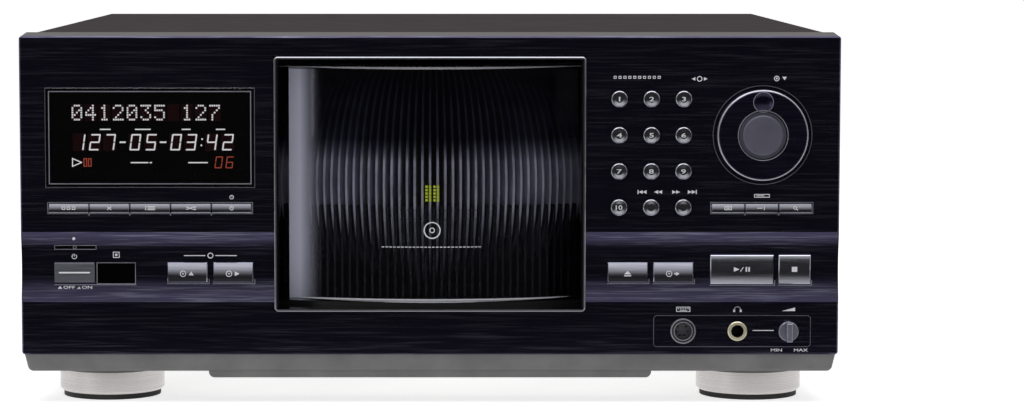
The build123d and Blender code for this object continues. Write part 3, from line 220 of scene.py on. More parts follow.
def turned_silver():
    """Foot metal: the tool's lines run round it, so they are stacked by height."""
    mat = principled("foot_turned", (0.62, 0.59, 0.58), 0.26, 1.0)
    rings = noise(mat, 1.0, 4.0, (6.0, 6.0, 2600.0))
    tint(mat, rings, (0.44, 0.415, 0.41), (0.72, 0.69, 0.68))
    rough_by(mat, rings, 0.20, 0.34)
    bump(mat, rings, 0.35, 0.01 * MM)
    return mat


def object_axis(mat, axis):
    place = add(mat, "ShaderNodeTexCoord")
    parts = add(mat, "ShaderNodeSeparateXYZ")
    join(mat, place.outputs["Object"], parts.inputs["Vector"])
    return parts.outputs[axis]


def surface(mat, shader_out):
    join(mat, shader_out, mat.node_tree.nodes["Material Output"].inputs["Surface"])


def mixed(mat, fac, low_shader, high_shader):
    mix = add(mat, "ShaderNodeMixShader")
    join(mat, fac, mix.inputs["Fac"])
    join(mat, low_shader, mix.inputs[1])
    join(mat, high_shader, mix.inputs[2])
    return mix.outputs[0]


def second_shader(mat, color, rough, metal=0.0):
    made = add(mat, "ShaderNodeBsdfPrincipled", Roughness=rough, Metallic=metal)
    made.inputs["Base Color"].default_value = (*color, 1.0)
    return made.outputs[0]


def transparent(mat, clear):
    through = add(mat, "ShaderNodeBsdfTransparent")
    through.inputs["Color"].default_value = (*clear, 1.0)
    return through.outputs[0]


def pane_over(mat, through, shine):
    """Thin smoked sheet: what is let straight through, and reflection off its skin."""
    gloss = add(mat, "ShaderNodeBsdfGlossy", Roughness=shine)
    edge = add(mat, "ShaderNodeFresnel", IOR=1.49)
    return mixed(mat, edge.outputs[0], through, gloss.outputs[0])


def within(mat, off, half):
    """1 where a coordinate lies nearer than half to zero."""
    return math_node(mat, "LESS_THAN", math_node(mat, "ABSOLUTE", off), half)


RIM_WIDTH = 1.2 * MM                      # bright outer line of the window's rim
FRAME_FLANGE = 3.0 * MM                   # behind the panel, past the rim's outline
RIM_HALF_X = (FRAME_HIGH.x - FRAME_LOW.x) / 2 - FRAME_FLANGE
RIM_HALF_Z = (FRAME_HIGH.z - FRAME_LOW.z) / 2 - FRAME_FLANGE


def frame_finish():
    """A bright line round the rim's outer edge, black gloss from there in."""
    mat = principled("window_frame_finish", (0.42, 0.42, 0.46), 0.28, 1.0)
    dark = second_shader(mat, (0.004, 0.004, 0.005), 0.08)
    off_z = math_node(mat, "SUBTRACT", object_axis(mat, "Z"), centre("window_frame").z)
    inside = math_node(mat, "MULTIPLY", within(mat, object_axis(mat, "X"), RIM_HALF_X - RIM_WIDTH),
                       within(mat, off_z, RIM_HALF_Z - RIM_WIDTH))
    behind = math_node(mat, "GREATER_THAN", object_axis(mat, "Y"), FACE_Y + 0.2 * MM)
    surface(mat, mixed(mat, math_node(mat, "MAXIMUM", inside, behind), shader_of(mat).outputs[0], dark))
    return mat


PANE_CLEAR = (0.88, 0.88, 0.93)
PANE_PAINTED_SHADE = (0.40, 0.40, 0.47)            # painted shade: the smoke is darker over the upper third
SHADE_FROM, SHADE_TO = 124.0 * MM, 136.0 * MM
PANE_FOOT = DISC_Z - DISC_R - 0.9 * MM    # the pane ends here and its black neck begins
DOOR_REACH = 73.0 * MM                    # the painted edge highlights taper out this far from the middle
# painted highlights along the pane's upper and lower edges, where its rims would catch the light
EDGE_HIGHLIGHT_TOP, EDGE_HIGHLIGHT_TOP_END = 1.15 * MM, 0.35 * MM
EDGE_HIGHLIGHT_FOOT = 1.9 * MM
# painted reflection: a pale strip fading in from the door's left end
REFLECTION_EDGE, REFLECTION_FADE, REFLECTION_END = -73.2 * MM, -67.5 * MM, -55.0 * MM


def door_finish():
    """Smoked pane, darker over its upper part as painted shade; painted highlights along its edges above and
    below; a pale strip at its left end that is a painted reflection; black carrier.
    """
    mat = principled("door_smoked", (0.92, 0.92, 0.97), 0.35)
    carrier = second_shader(mat, (0.012, 0.012, 0.014), 0.4)
    painted_reflection = second_shader(mat, (0.74, 0.76, 0.93), 0.5)
    x, z = object_axis(mat, "X"), object_axis(mat, "Z")
    bow = math_node(mat, "MULTIPLY", math_node(mat, "MULTIPLY", x, x), 1 / DOOR_REACH ** 2)
    # painted highlight bands along the upper and lower edges
    top_from = math_node(mat, "ADD", math_node(mat, "MULTIPLY", bow, EDGE_HIGHLIGHT_TOP - EDGE_HIGHLIGHT_TOP_END),
                         DOOR_HIGH.z - EDGE_HIGHLIGHT_TOP)
    on_top = math_node(mat, "GREATER_THAN", z, top_from)
    foot_from = math_node(mat, "ADD", math_node(mat, "MULTIPLY", bow, EDGE_HIGHLIGHT_FOOT), PANE_FOOT)
    on_foot = math_node(mat, "MULTIPLY", math_node(mat, "GREATER_THAN", z, foot_from),
                        math_node(mat, "LESS_THAN", z, PANE_FOOT + EDGE_HIGHLIGHT_FOOT))
    # the painted reflection fades out towards the right
    fade = math_node(mat, "POWER", spread(mat, x, 1.0, 0.0, REFLECTION_FADE, REFLECTION_END), 2.6)
    strip = math_node(mat, "MULTIPLY", fade, math_node(mat, "GREATER_THAN", x, REFLECTION_EDGE))
    # painted shade over the pane's upper part
    shade = spread(mat, z, 0.0, 1.0, SHADE_FROM, SHADE_TO)
    smoke = mixed(mat, shade, transparent(mat, PANE_CLEAR), transparent(mat, PANE_PAINTED_SHADE))
    sheet = mixed(mat, strip, pane_over(mat, smoke, 0.02), painted_reflection)
    sheet = mixed(mat, math_node(mat, "MAXIMUM", on_top, on_foot), sheet, shader_of(mat).outputs[0])
    surface(mat, mixed(mat, math_node(mat, "LESS_THAN", z, PANE_FOOT), sheet, carrier))
    return mat


def lens_finish(name, clear):
    mat = principled(name, (0.004, 0.004, 0.006), 0.05)
    surface(mat, pane_over(mat, transparent(mat, clear), 0.03))
    return mat


def radius_from(mat, x0, z0):
    """Distance from an axis that runs along Y."""
    across = math_node(mat, "SUBTRACT", object_axis(mat, "X"), x0)
    up = math_node(mat, "SUBTRACT", object_axis(mat, "Z"), z0)
    return math_node(mat, "SQRT", math_node(mat, "ADD", math_node(mat, "MULTIPLY", across, across),
                                            math_node(mat, "MULTIPLY", up, up)))


DIAL_HIGHLIGHT_R = 22.6 * MM                 # the dial's chamfer carries a painted highlight from here out


def dial_finish():
    """Dark satin dial; its chamfered edge is given a lighter metal colour as a painted highlight."""
    mat = brushed("dial_satin", (0.020, 0.016, 0.040), (0.040, 0.036, 0.065), 0.26, 0.85, 40.0, 900.0, 0.004)
    # painted highlight on the chamfer
    bright = second_shader(mat, (0.50, 0.50, 0.56), 0.35, 0.8)
    middle = centre("jog_dial")
    edge = math_node(mat, "GREATER_THAN", radius_from(mat, middle.x, middle.z), DIAL_HIGHLIGHT_R)
    surface(mat, mixed(mat, edge, shader_of(mat).outputs[0], bright))
    return mat


SLOPE_FROM = 0.8 * MM                     # behind the face; the panel's top slopes up from its front edge
PANEL_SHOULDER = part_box("front_panel")[1].z - 2.0 * MM


def panel_finish():
    """Bluish black brushed face; its sloping top is plainer and rougher."""
    mat = brushed("panel_brushed", (0.050, 0.045, 0.086), (0.30, 0.30, 0.41), 0.135, 0.94,
                  48.0, 1900.0, 0.004, (0.50, 0.85))
    slope = second_shader(mat, (0.090, 0.083, 0.086), 0.7)
    behind = math_node(mat, "GREATER_THAN", object_axis(mat, "Y"), FACE_Y + SLOPE_FROM)
    above = math_node(mat, "GREATER_THAN", object_axis(mat, "Z"), PANEL_SHOULDER)
    on_top = math_node(mat, "MULTIPLY", behind, above)
    surface(mat, mixed(mat, on_top, shader_of(mat).outputs[0], slope))
    return mat


def jack_finish():
    """Gilt ring, dark bore behind it."""
    mat = moulded("jack_gilt", (0.90, 0.82, 0.60), 0.30, metal=0.7)
    dark = second_shader(mat, (0.02, 0.015, 0.012), 0.4)
    behind = math_node(mat, "GREATER_THAN", object_axis(mat, "Y"), FACE_Y + 0.1 * MM)
    surface(mat, mixed(mat, behind, shader_of(mat).outputs[0], dark))
    return mat


KEY_HAIRS = (60.0, 1800.0, 0.003)         # the keys' hairlines: along, across, depth in mm

panel_mat = panel_finish()
slim_mat = brushed("slim_key_satin", (0.44, 0.44, 0.51), (0.60, 0.60, 0.67), 0.12, 1.0, *KEY_HAIRS)
band_mat = brushed("band_key_satin", (0.62, 0.62, 0.74), (0.76, 0.76, 0.88), 0.12, 1.0, *KEY_HAIRS)
tall_mat = brushed("play_key_satin", (0.52, 0.52, 0.60), (0.68, 0.68, 0.77), 0.16, 1.0, *KEY_HAIRS)
round_mat = moulded("round_key_satin", (0.45, 0.45, 0.51), 0.20, metal=1.0)
power_mat = brushed("power_key_satin", (0.13, 0.13, 0.16), (0.18, 0.18, 0.215), 0.40, 0.5, *KEY_HAIRS)
cap_mat = moulded("cap_satin", (0.135, 0.132, 0.18), 0.46, metal=0.35)
knob_mat = moulded("knob_satin", (0.26, 0.26, 0.32), 0.34, metal=0.8)
base_mat = moulded("base_satin", (0.198, 0.197, 0.198), 0.50)
cover_mat = moulded("cover_paint", (0.034, 0.026, 0.028), 0.80, 1800.0, 0.05, Specular_IOR_Level=0.05)
steel_mat = brushed("steel_zinc", (0.42, 0.42, 0.42), (0.62, 0.62, 0.60), 0.38, 1.0, 60.0, 60.0, 0.012)
pad_mat = moulded("pad_rubber", (0.018, 0.018, 0.018), 0.75)
gilt_mat = moulded("gilt_plate", (0.80, 0.66, 0.34), 0.22, metal=1.0)
board_mat = moulded("board_green", (0.04, 0.11, 0.05), 0.55)
core_mat = brushed("core_varnished", (0.09, 0.08, 0.07), (0.16, 0.15, 0.13), 0.45, 0.4, 900.0, 30.0, 0.012)
moulding_mat = moulded("moulding_black", (0.012, 0.012, 0.014), 0.42)
socket_mat = moulded("socket_grey", (0.16, 0.16, 0.18), 0.40, metal=0.3)
comb_mat = moulded("comb_black", (0.030, 0.029, 0.036), 0.26)
gear_mat = moulded("gear_natural", (0.70, 0.69, 0.62), 0.45)
motor_mat = brushed("motor_can", (0.40, 0.40, 0.40), (0.55, 0.55, 0.55), 0.30, 1.0, 40.0, 400.0, 0.006)
tube_mat = moulded("tube_glass", (0.006, 0.006, 0.008), 0.10)
legend_mat = moulded("legend_white", (0.80, 0.80, 0.84), 0.5)
line_mat = moulded("line_bright", (0.42, 0.42, 0.48), 0.35, metal=0.6)
dim_line_mat = moulded("line_dim", (0.17, 0.17, 0.21), 0.4, metal=0.5)
white_glow = glow("segments_white", (1.0, 0.99, 0.96), 1.3)
red_glow = glow("segments_red", (1.0, 0.17, 0.10), 0.5)
dim_glow = glow("segments_unlit", (0.20, 0.012, 0.02), 0.05)
lamp_glow = glow("lamp_green", (0.62, 0.74, 0.04), 0.55)

MODE_KEYS = ["mode_key", "clear_key", "program_key", "random_key", "time_key"]
TITLE_KEYS = ["title_display_key", "title_input_key", "title_search_key"]
DIGIT_KEYS = [f"digit_{i}" for i in range(1, 11)]
TRACK_KEYS = ["track_back", "track_forward"]
LOADER_KEYS = ["loader_access_key", "loader_play_key"]
DOOR_KEYS = ["open_close_key", "unload_key"]
PLAY_KEYS = ["play_pause_key", "stop_key"]
BLACK_PIECES = ["rack_guides", "power_inlet", "player_chassis", "disc_rack", "spindle", "pickup",
                "clamp_arm", "loading_arm"]
FINISHES = {
    "front_panel": panel_mat, "window_frame": frame_finish(), "display_module": tube_mat,
    "display_window": lens_finish("lens_smoked", (0.70, 0.70, 0.72)),
    "front_lenses": lens_finish("lens_dark", (0.08, 0.06, 0.07)), "phones_jack": jack_finish(),
    "keyboard_socket": socket_mat, "base_moulding": base_mat, "top_cover": cover_mat,
    "bottom_chassis": steel_mat, "rear_panel": cover_mat, "rear_sockets": gilt_mat,
    "feet": turned_silver(), "foot_pads": pad_mat, "transformer": core_mat, "circuit_boards": board_mat,
    "drive_motors": motor_mat, "rack_comb": comb_mat, "disc_door": door_finish(),
    "door_pinion": gear_mat, "rack_pinion": gear_mat, "jog_dial": dial_finish(),
    "jog_button": cap_mat, "level_knob": knob_mat, "power_button": power_mat,
}
for names, mat in ((BLACK_PIECES, moulding_mat), (MODE_KEYS + TITLE_KEYS, slim_mat),
                   (DIGIT_KEYS + TRACK_KEYS, round_mat), (LOADER_KEYS + DOOR_KEYS, band_mat),
                   (PLAY_KEYS, tall_mat)):
    FINISHES.update(dict.fromkeys(names, mat))
for node, finish in FINISHES.items():
    nodes[node].data.materials.clear()
    nodes[node].data.materials.append(finish)


# -------- thin prints and trim
def placed(name, mesh, mat, body):
    mesh.materials.clear()
    mesh.materials.append(mat)
    made = bpy.data.objects.new(name, mesh)
    scene.collection.objects.link(made)
    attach(made, body)
    return made


def piece(name, verts, faces, mat, body, slot):
    mesh = bpy.data.meshes.new(name)
    mesh.from_pydata([tuple(v) for v in verts], [], faces)
    mesh.validate()
    return placed(name, mesh, mat, body)


class Print:
    """Flat shapes in X and Z, gathered into one thin piece that lies on a surface facing the front.

    The surface is one Y, or a function that gives Y at an X and a Z."""

    def __init__(self, surface_y, thick=0.05 * MM, sink=0.02 * MM):
        self.surface_y = surface_y if callable(surface_y) else lambda x, z: surface_y
        self.layers = (-thick, sink)
        self.verts, self.faces = [], []

    def point(self, x, z, layer):
        self.verts.append((x, self.surface_y(x, z) + layer, z))

    def outline(self, points):
        """Convex outline, counter-clockwise seen from the front."""
        start, count = len(self.verts), len(points)
        for layer in self.layers:
            for x, z in points:
                self.point(x, z, layer)
        self.faces.append([start + i for i in range(count)])
        self.faces.append([start + count + i for i in reversed(range(count))])
        for i in range(count):
            j = (i + 1) % count
            self.faces.append([start + i, start + count + i, start + count + j, start + j])

    def bar(self, x0, x1, z0, z1, lean=0.0):
        """Upright rectangle whose top may lean to the right."""
        shift = lean * (z1 - z0)
        self.outline([(x0, z0), (x1, z0), (x1 + shift, z1), (x0 + shift, z1)])

    def stroke(self, x0, z0, x1, z1, width):
        along = Vector((x1 - x0, z1 - z0)).normalized() * width / 2
        side = Vector((-along.y, along.x))
        start, end = Vector((x0, z0)) - along, Vector((x1, z1)) + along
        self.outline([tuple(start - side), tuple(end - side), tuple(end + side), tuple(start + side)])

    def ring(self, x, z, r, width, steps=48):
        """Round line of even width about a centre."""
        start = len(self.verts)
        for i in range(steps):
            a = 2 * math.pi * i / steps
            for radius in (r - width / 2, r + width / 2):
                for layer in self.layers:
                    self.point(x + radius * math.cos(a), z + radius * math.sin(a), layer)
        for i in range(steps):
            a, b = start + 4 * i, start + 4 * ((i + 1) % steps)
            self.faces += [[a, a + 2, b + 2, b], [a + 1, b + 1, b + 3, a + 3],
                           [a + 2, a + 3, b + 3, b + 2], [a, b, b + 1, a + 1]]

    def disc(self, x, z, r, steps=20):
        turns = [2 * math.pi * i / steps for i in range(steps)]
        self.outline([(x + r * math.cos(a), z + r * math.sin(a)) for a in turns])

    def frame(self, x0, x1, z0, z1, width):
        """Rectangular line just inside the corners given."""
        self.bar(x0, x1, z1 - width, z1)
        self.bar(x0, x1, z0, z0 + width)
        self.bar(x0, x0 + width, z0 + width, z1 - width)
        self.bar(x1 - width, x1, z0 + width, z1 - width)

    def triangle(self, x, z, width, height, way=1):
        """Solid triangle that points right for way 1 and left for way -1."""
        tip, back = (x + way * width / 2, z), x - way * width / 2
        corners = [(back, z - height / 2), tip, (back, z + height / 2)]
        self.outline(corners if way > 0 else corners[::-1])

    def arrow(self, x, z, width, height, way=1):
        """Solid triangle that points up for way 1 and down for way -1."""
        base, tip = z - way * height / 2, z + way * height / 2
        corners = [(x - width / 2, base), (x + width / 2, base), (x, tip)]
        self.outline(corners if way > 0 else corners[::-1])

    def make(self, name, mat, body, slot=None):
        return piece(name, self.verts, self.faces, mat, body, slot)


def lettering(name, text, x, z, y, height, body, wide=1.5):
    """Plain numerals or marks, centred at x and z, on a surface at y."""
    curve = bpy.data.curves.new(name, "FONT")
    curve.body = text
    curve.offset = 0.012
    curve.resolution_u = 3
    curve.extrude = 0.02
    source = bpy.data.objects.new(name, curve)
    scene.collection.objects.link(source)
    bpy.context.view_layer.update()
    mesh = bpy.data.meshes.new_from_object(source)
    bpy.data.objects.remove(source)
    xs = [v.co.x for v in mesh.vertices]
    ys = [v.co.y for v in mesh.vertices]
    scale = height / (max(ys) - min(ys))
    mid_x, mid_y = (max(xs) + min(xs)) / 2, (max(ys) + min(ys)) / 2
    for v in mesh.vertices:
        v.co = Vector((x + (v.co.x - mid_x) * scale * wide, y - v.co.z * 3.5 * MM,
                       z + (v.co.y - mid_y) * scale))
    return placed(name, mesh, legend_mat, body)


# -------- display
DISPLAY_X = centre("display_window").x
SEGMENT_Y = front_of("display_module")
LEAN = 0.14                               # the figures lean to the right
DOT_GLYPHS = {
    "0": "01110 10001 10011 10101 11001 10001 01110", "1": "00100 01100 00100 00100 00100 00100 01110",
    "2": "01110 10001 00001 00010 00100 01000 11111", "3": "11111 00010 00100 00010 00001 10001 01110",
    "4": "00010 00110 01010 10010 11111 00010 00010", "5": "11111 10000 11110 00001 00001 10001 01110",
    "7": "11111 00001 00010 00100 01000 01000 01000",
}
SEGMENTS = {"0": "abcdef", "1": "bc", "2": "abdeg", "3": "abcdg", "4": "bcfg", "5": "acdfg",
            "6": "acdefg", "7": "abc"}


def dot_row(text, x, z_top, lit, unlit):
    """Characters of 5 by 7 dots; the cells' unlit ground goes into another print."""
    pitch_x, pitch_z, dot, step = 1.13 * MM, 1.19 * MM, 0.84 * MM, 7.06 * MM
    for place, sign in enumerate(text):
        left = x + place * step
        unlit.bar(left - 0.3 * MM, left + 5.7 * MM, z_top - 8.3 * MM, z_top + 0.3 * MM)
        for row, bits in enumerate(DOT_GLYPHS.get(sign, "").split()):
            for column, bit in enumerate(bits):
                if bit == "1":
                    dot_x, dot_z = left + column * pitch_x, z_top - row * pitch_z
                    lit.bar(dot_x, dot_x + dot, dot_z - dot, dot_z)


def segment_digit(sign, x, z, width, height, lit):
    """Seven-bar figure whose lower left corner is at x and z."""
    line = height * 0.088
    half = height / 2
    gap = line * 0.35
    levels = {"a": height - line / 2, "d": line / 2, "g": half}
    uprights = {"b": (width - line, half), "c": (width - line, 0), "f": (0, half), "e": (0, 0)}
    for bar in SEGMENTS[sign]:
        if bar in levels:
            rise = levels[bar]
            left = x + gap + LEAN * rise
            lit.bar(left, left + width - 2 * gap, z + rise - line / 2, z + rise + line / 2, LEAN)
        else:
            side, rise = uprights[bar]
            left = x + side + LEAN * (rise + gap)
            lit.bar(left, left + line, z + rise + gap, z + rise + half - gap, LEAN)


FIGURES_Z, FIGURE_W, FIGURE_H = 130.4 * MM, 5.1 * MM, 8.4 * MM
# Figures, hyphens, colon and labels of the middle row, in mm from the display's middle.
FIGURES = [("1", -39.6), ("2", -31.8), ("7", -24.0), ("0", -11.0), ("5", -2.9), ("0", 9.9), ("3", 17.7),
           ("4", 28.2), ("2", 36.5)]
HYPHENS = [(-16.0, -12.9), (4.6, 8.0)]
COLON_X = 26.2
LABELS = [(-26.0, 5.5), (-8.0, 8.0), (16.0, 4.5), (33.5, 4.8)]


def lower_row(lit, red, unlit):
    """Play sign, two red blocks, short marks, the red pair of figures and a faint scale."""
    x, z = DISPLAY_X, 124.2 * MM
    tip, back, half, line = x - 35.6 * MM, x - 40.2 * MM, 2.0 * MM, 0.5 * MM
    lit.stroke(back, z - half, back, z + half, line)
    for rise in (half, -half):
        lit.stroke(back, z + rise, tip, z, line)
    for left in (-34.6, -32.3):
        red.frame(x + left * MM, x + (left + 1.9) * MM, z - 2.2 * MM, z + 2.2 * MM, 0.55 * MM)
    for left, width in ((-10.3, 9.0), (-0.6, 1.2), (19.2, 10.0)):
        lit.bar(x + left * MM, x + (left + width) * MM, z - 0.4 * MM, z + 0.2 * MM)
    for sign, left in (("0", 32.6), ("6", 38.2)):
        segment_digit(sign, x + left * MM, 121.2 * MM, 3.7 * MM, 6.1 * MM, red)
    for i in range(29):
        unlit.disc(x + (-36.0 + 2.45 * i) * MM, 118.2 * MM, 0.35 * MM, 8)


def display_figures():
    lit, red, unlit = Print(SEGMENT_Y, 0.06 * MM), Print(SEGMENT_Y, 0.06 * MM), Print(SEGMENT_Y, 0.02 * MM)
    dot_row("0412035 127", DISPLAY_X - 40.4 * MM, 153.8 * MM, lit, unlit)
    for sign, left in FIGURES:
        x = DISPLAY_X + left * MM
        segment_digit(sign, x, FIGURES_Z, FIGURE_W, FIGURE_H, lit)
        unlit.bar(x - 0.4 * MM, x + FIGURE_W + 1.2 * MM,
                  FIGURES_Z - 0.4 * MM, FIGURES_Z + FIGURE_H + 0.4 * MM)
    middle = FIGURES_Z + FIGURE_H / 2
    for x0, x1 in HYPHENS:
        lit.bar(DISPLAY_X + x0 * MM, DISPLAY_X + x1 * MM, middle - 0.4 * MM, middle + 0.4 * MM, LEAN)
    for rise in (-1.6 * MM, 1.6 * MM):
        x, z = DISPLAY_X + COLON_X * MM + LEAN * rise, middle + rise
        lit.bar(x - 0.4 * MM, x + 0.4 * MM, z - 0.4 * MM, z + 0.4 * MM)
    for left, width in LABELS:
        lit.bar(DISPLAY_X + left * MM, DISPLAY_X + (left + width) * MM, 140.9 * MM, 141.5 * MM)
    lower_row(lit, red, unlit)
    lit.make("figures_lit", white_glow, "case")
    red.make("figures_red", red_glow, "case")
    unlit.make("figures_unlit", dim_glow, "case")


display_figures()


# -------- lines round windows and keys; some are painted highlights
def face_box(name):
    """A key's face: left, right, bottom and top without the flange behind the panel."""
    low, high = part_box(name)
    side = 0.0 if name in MODE_KEYS + TITLE_KEYS else FLANGE
    return low.x + side, high.x - side, low.z + FLANGE, high.z - FLANGE


def row_lines(name, names):
    """Painted highlight round a row of slim keys, where their edges catch the light, with a tick under each
    joint.
    """
    faces = [face_box(key) for key in names]
    left, right, bottom, top = faces[0][0], faces[-1][1], faces[0][2], faces[0][3]
    gap, line = 0.3 * MM, Print(FACE_Y)
    # painted highlight of the keys' edges
    line.frame(left - 2 * gap, right + 2 * gap, bottom - 2 * gap, top + 2 * gap, gap)
    for face in faces[:-1]:
        line.bar(face[1] - 0.1 * MM, face[1] + 0.5 * MM, bottom - 1.4 * MM, bottom - 2 * gap)
    line.make(name, line_mat, "case", "rim")


def display_lines():
    """Thin line round the display window, brighter line on its face."""
    x0, x1, z0, z1 = LENS_LOW.x, LENS_HIGH.x, LENS_LOW.z, LENS_HIGH.z
    outer, gap = Print(FACE_Y), 0.3 * MM
    outer.frame(x0 - gap, x1 + gap, z0 - gap, z1 + gap, 0.28 * MM)
    outer.make("display_outline", dim_line_mat, "case", "rim")
    inner, inset = Print(LENS_LOW.y), 1.5 * MM
    inner.frame(x0 + inset, x1 - inset, z0 + inset, z1 - inset, 0.5 * MM)
    inner.make("display_border", line_mat, "case", "rim")


def socket_lines():
    """Rounded line round the two sockets and the knob, short line between jack and knob."""
    knob, jack, keyboard = centre("level_knob"), centre("phones_jack"), centre("keyboard_socket")
    x0, x1 = keyboard.x - 15.3 * MM, knob.x + 11.5 * MM
    z0, z1 = knob.z - 8.2 * MM, knob.z + 8.2 * MM
    corner, width, line = 1.2 * MM, 0.26 * MM, Print(FACE_Y)
    line.bar(x0 + corner, x1 - corner, z1 - width, z1)
    line.bar(x0 + corner, x1 - corner, z0, z0 + width)
    line.bar(x0, x0 + width, z0 + corner, z1 - corner)
    line.bar(x1 - width, x1, z0 + corner, z1 - corner)
    for x, way_x in ((x0, 1), (x1, -1)):
        for z, way_z in ((z0, 1), (z1, -1)):
            line.stroke(x + way_x * width / 2, z + way_z * corner,
                        x + way_x * corner, z + way_z * width / 2, width)
    line.make("socket_outline", dim_line_mat, "case", "rim")
    mark = Print(FACE_Y)
    mark.bar(jack.x + 7.9 * MM, knob.x - 7.4 * MM, jack.z - 0.2 * MM, jack.z + 0.2 * MM)
    mark.make("socket_mark", legend_mat, "case")


def band_lines():
    """Lit lower lips of the openings round the keys and windows in the band."""
    lip = Print(scoop_y, BAND_PRINT)
    for name in LOADER_KEYS + DOOR_KEYS + PLAY_KEYS:
        left, right, bottom, _ = face_box(name)
        lip.bar(left - 0.2 * MM, right + 0.9 * MM, bottom - 0.95 * MM, bottom - 0.65 * MM)
        lip.bar(right + 0.6 * MM, right + 0.9 * MM, bottom - 0.65 * MM, bottom + 1.6 * MM)
    power, lenses = face_box("power_button"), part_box("front_lenses")
    lip.bar(power[0] - 0.3 * MM, lenses[1].x + 0.3 * MM, power[2] - 1.5 * MM, power[2] - 1.2 * MM)
    lip.make("band_lips", line_mat, "case", "rim")


def lens_lines():
    """Outlines of the standby strip and the sensor window, and the standby lamp."""
    low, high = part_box("front_lenses")
    power = face_box("power_button")
    strip_x1, strip_z0 = power[0] + 21.6 * MM, high.z - 2.3 * MM
    strip = Print(FACE_Y + 1.6 * MM)
    strip.frame(low.x, strip_x1, strip_z0, high.z, 0.3 * MM)
    strip.ring(low.x + 10.5 * MM, (strip_z0 + high.z) / 2, 0.8 * MM, 0.35 * MM, 20)
    strip.make("standby_outline", line_mat, "case", "rim")
    window = Print(FACE_Y + 2.2 * MM)
    window.frame(high.x - 20.1 * MM, high.x, low.z, low.z + 11.2 * MM, 0.35 * MM)
    window.make("sensor_outline", line_mat, "case", "rim")


display_lines()
row_lines("mode_row_highlight", MODE_KEYS)
row_lines("title_row_highlight", TITLE_KEYS)
socket_lines()
band_lines()
lens_lines()


def dial_rings():
    """Painted highlights: rings on the dial round its dimple and cap, and along the edge of the well it
    turns in.
    """
    middle = centre("jog_button")
    rings = Print(front_of("jog_dial"))
    # painted highlights where the dial's edges catch the light
    rings.ring(middle.x, middle.z, 12.75 * MM, 0.45 * MM, 64)
    rings.ring(middle.x, middle.z + 17.0 * MM, 5.1 * MM, 0.35 * MM, 32)
    rings.make("dial_rings", line_mat, "jog_dial", "rim")
    well = Print(FACE_Y)
    well.ring(middle.x, middle.z, 25.3 * MM, 0.35 * MM, 96)
    well.make("dial_well_highlight", dim_line_mat, "case", "rim")


def keyboard_rings():
    """Two bright rings on the keyboard socket and the dark groove between them."""
    socket = Print(front_of("keyboard_socket"))
    spot = centre("keyboard_socket")
    socket.ring(spot.x, spot.z, 6.1 * MM, 0.45 * MM, 40)
    socket.ring(spot.x, spot.z, 4.7 * MM, 0.35 * MM, 40)
    socket.make("keyboard_ring", line_mat, "case", "rim")
    groove = Print(front_of("keyboard_socket"), 0.03 * MM)
    groove.ring(spot.x, spot.z, 5.4 * MM, 0.95 * MM, 40)
    groove.make("keyboard_groove", moulding_mat, "case", "moulding")


dial_rings()
keyboard_rings()


# -------- legends
KEY_DISH = 0.44 * MM                      # the round keys' faces dip this much in the middle


def key_numerals():
    for number, name in enumerate(DIGIT_KEYS, 1):
        spot = centre(name)
        wide = 1.7 if number < 10 else 1.35
        lettering(f"numeral_{number}", str(number), spot.x, spot.z, front_of(name) + KEY_DISH, 2.3 * MM,
                  name, wide)


def track_marks():
    """Skip and search signs over the two track keys."""
    marks, size = Print(FACE_Y), 2.1 * MM
    for name, way in (("track_back", -1), ("track_forward", 1)):
        spot = centre(name)
        z, skip, search = spot.z + 7.9 * MM, spot.x + way * 4.4 * MM, spot.x - way * 3.6 * MM
        for shift in (-1.0 * MM, 1.0 * MM):
            marks.triangle(skip + shift, z, size, size * 0.9, way)
            marks.triangle(search + shift, z, size, size * 0.9, way)
        edge = skip + way * 2.3 * MM
        marks.bar(edge - 0.25 * MM, edge + 0.25 * MM, z - size / 2, z + size / 2)
    marks.make("track_marks", legend_mat, "case")


def play_marks():
    """Play and pause signs on the wide key, stop sign on the one beside it."""
    spot = centre("play_pause_key")
    x, z, size = spot.x, spot.z, 2.4 * MM
    sign = Print(TALL_KEY_MIDDLE, 0.06 * MM, 0.05 * MM)
    sign.triangle(x - 2.7 * MM, z, size * 1.2, size)
    sign.stroke(x - 0.7 * MM, z - 1.0 * MM, x + 0.7 * MM, z + 1.0 * MM, 0.4 * MM)
    for left in (1.9 * MM, 3.3 * MM):
        sign.bar(x + left, x + left + 0.8 * MM, z - size / 2, z + size / 2)
    sign.make("play_pause_sign", legend_mat, "play_pause_key")
    spot = centre("stop_key")
    stop = Print(TALL_KEY_MIDDLE, 0.06 * MM, 0.05 * MM)
    stop.bar(spot.x - size * 0.58, spot.x + size * 0.58, spot.z - size * 0.54, spot.z + size * 0.54)
    stop.make("stop_sign", legend_mat, "stop_key")


def key_surface(name, y, drop):
    bottom, top = face_box(name)[2:]
    return leaning_face(y, bottom, top, drop)


SIGN_LINE = 0.35 * MM
MARK_H = 1.5 * MM                         # height of the marks under switch and knob


# Plain signs for the keys; each draws itself about x and z, about 2 mm high.
def sign_cards(p, x, z):
    for shift in (-2.6, 0.0, 2.6):
        p.frame(x + (shift - 0.9) * MM, x + (shift + 0.9) * MM, z - 0.8 * MM, z + 0.8 * MM, SIGN_LINE)


def sign_cross(p, x, z):
    p.stroke(x - 0.9 * MM, z - 0.7 * MM, x + 0.9 * MM, z + 0.7 * MM, 0.4 * MM)
    p.stroke(x - 0.9 * MM, z + 0.7 * MM, x + 0.9 * MM, z - 0.7 * MM, 0.4 * MM)


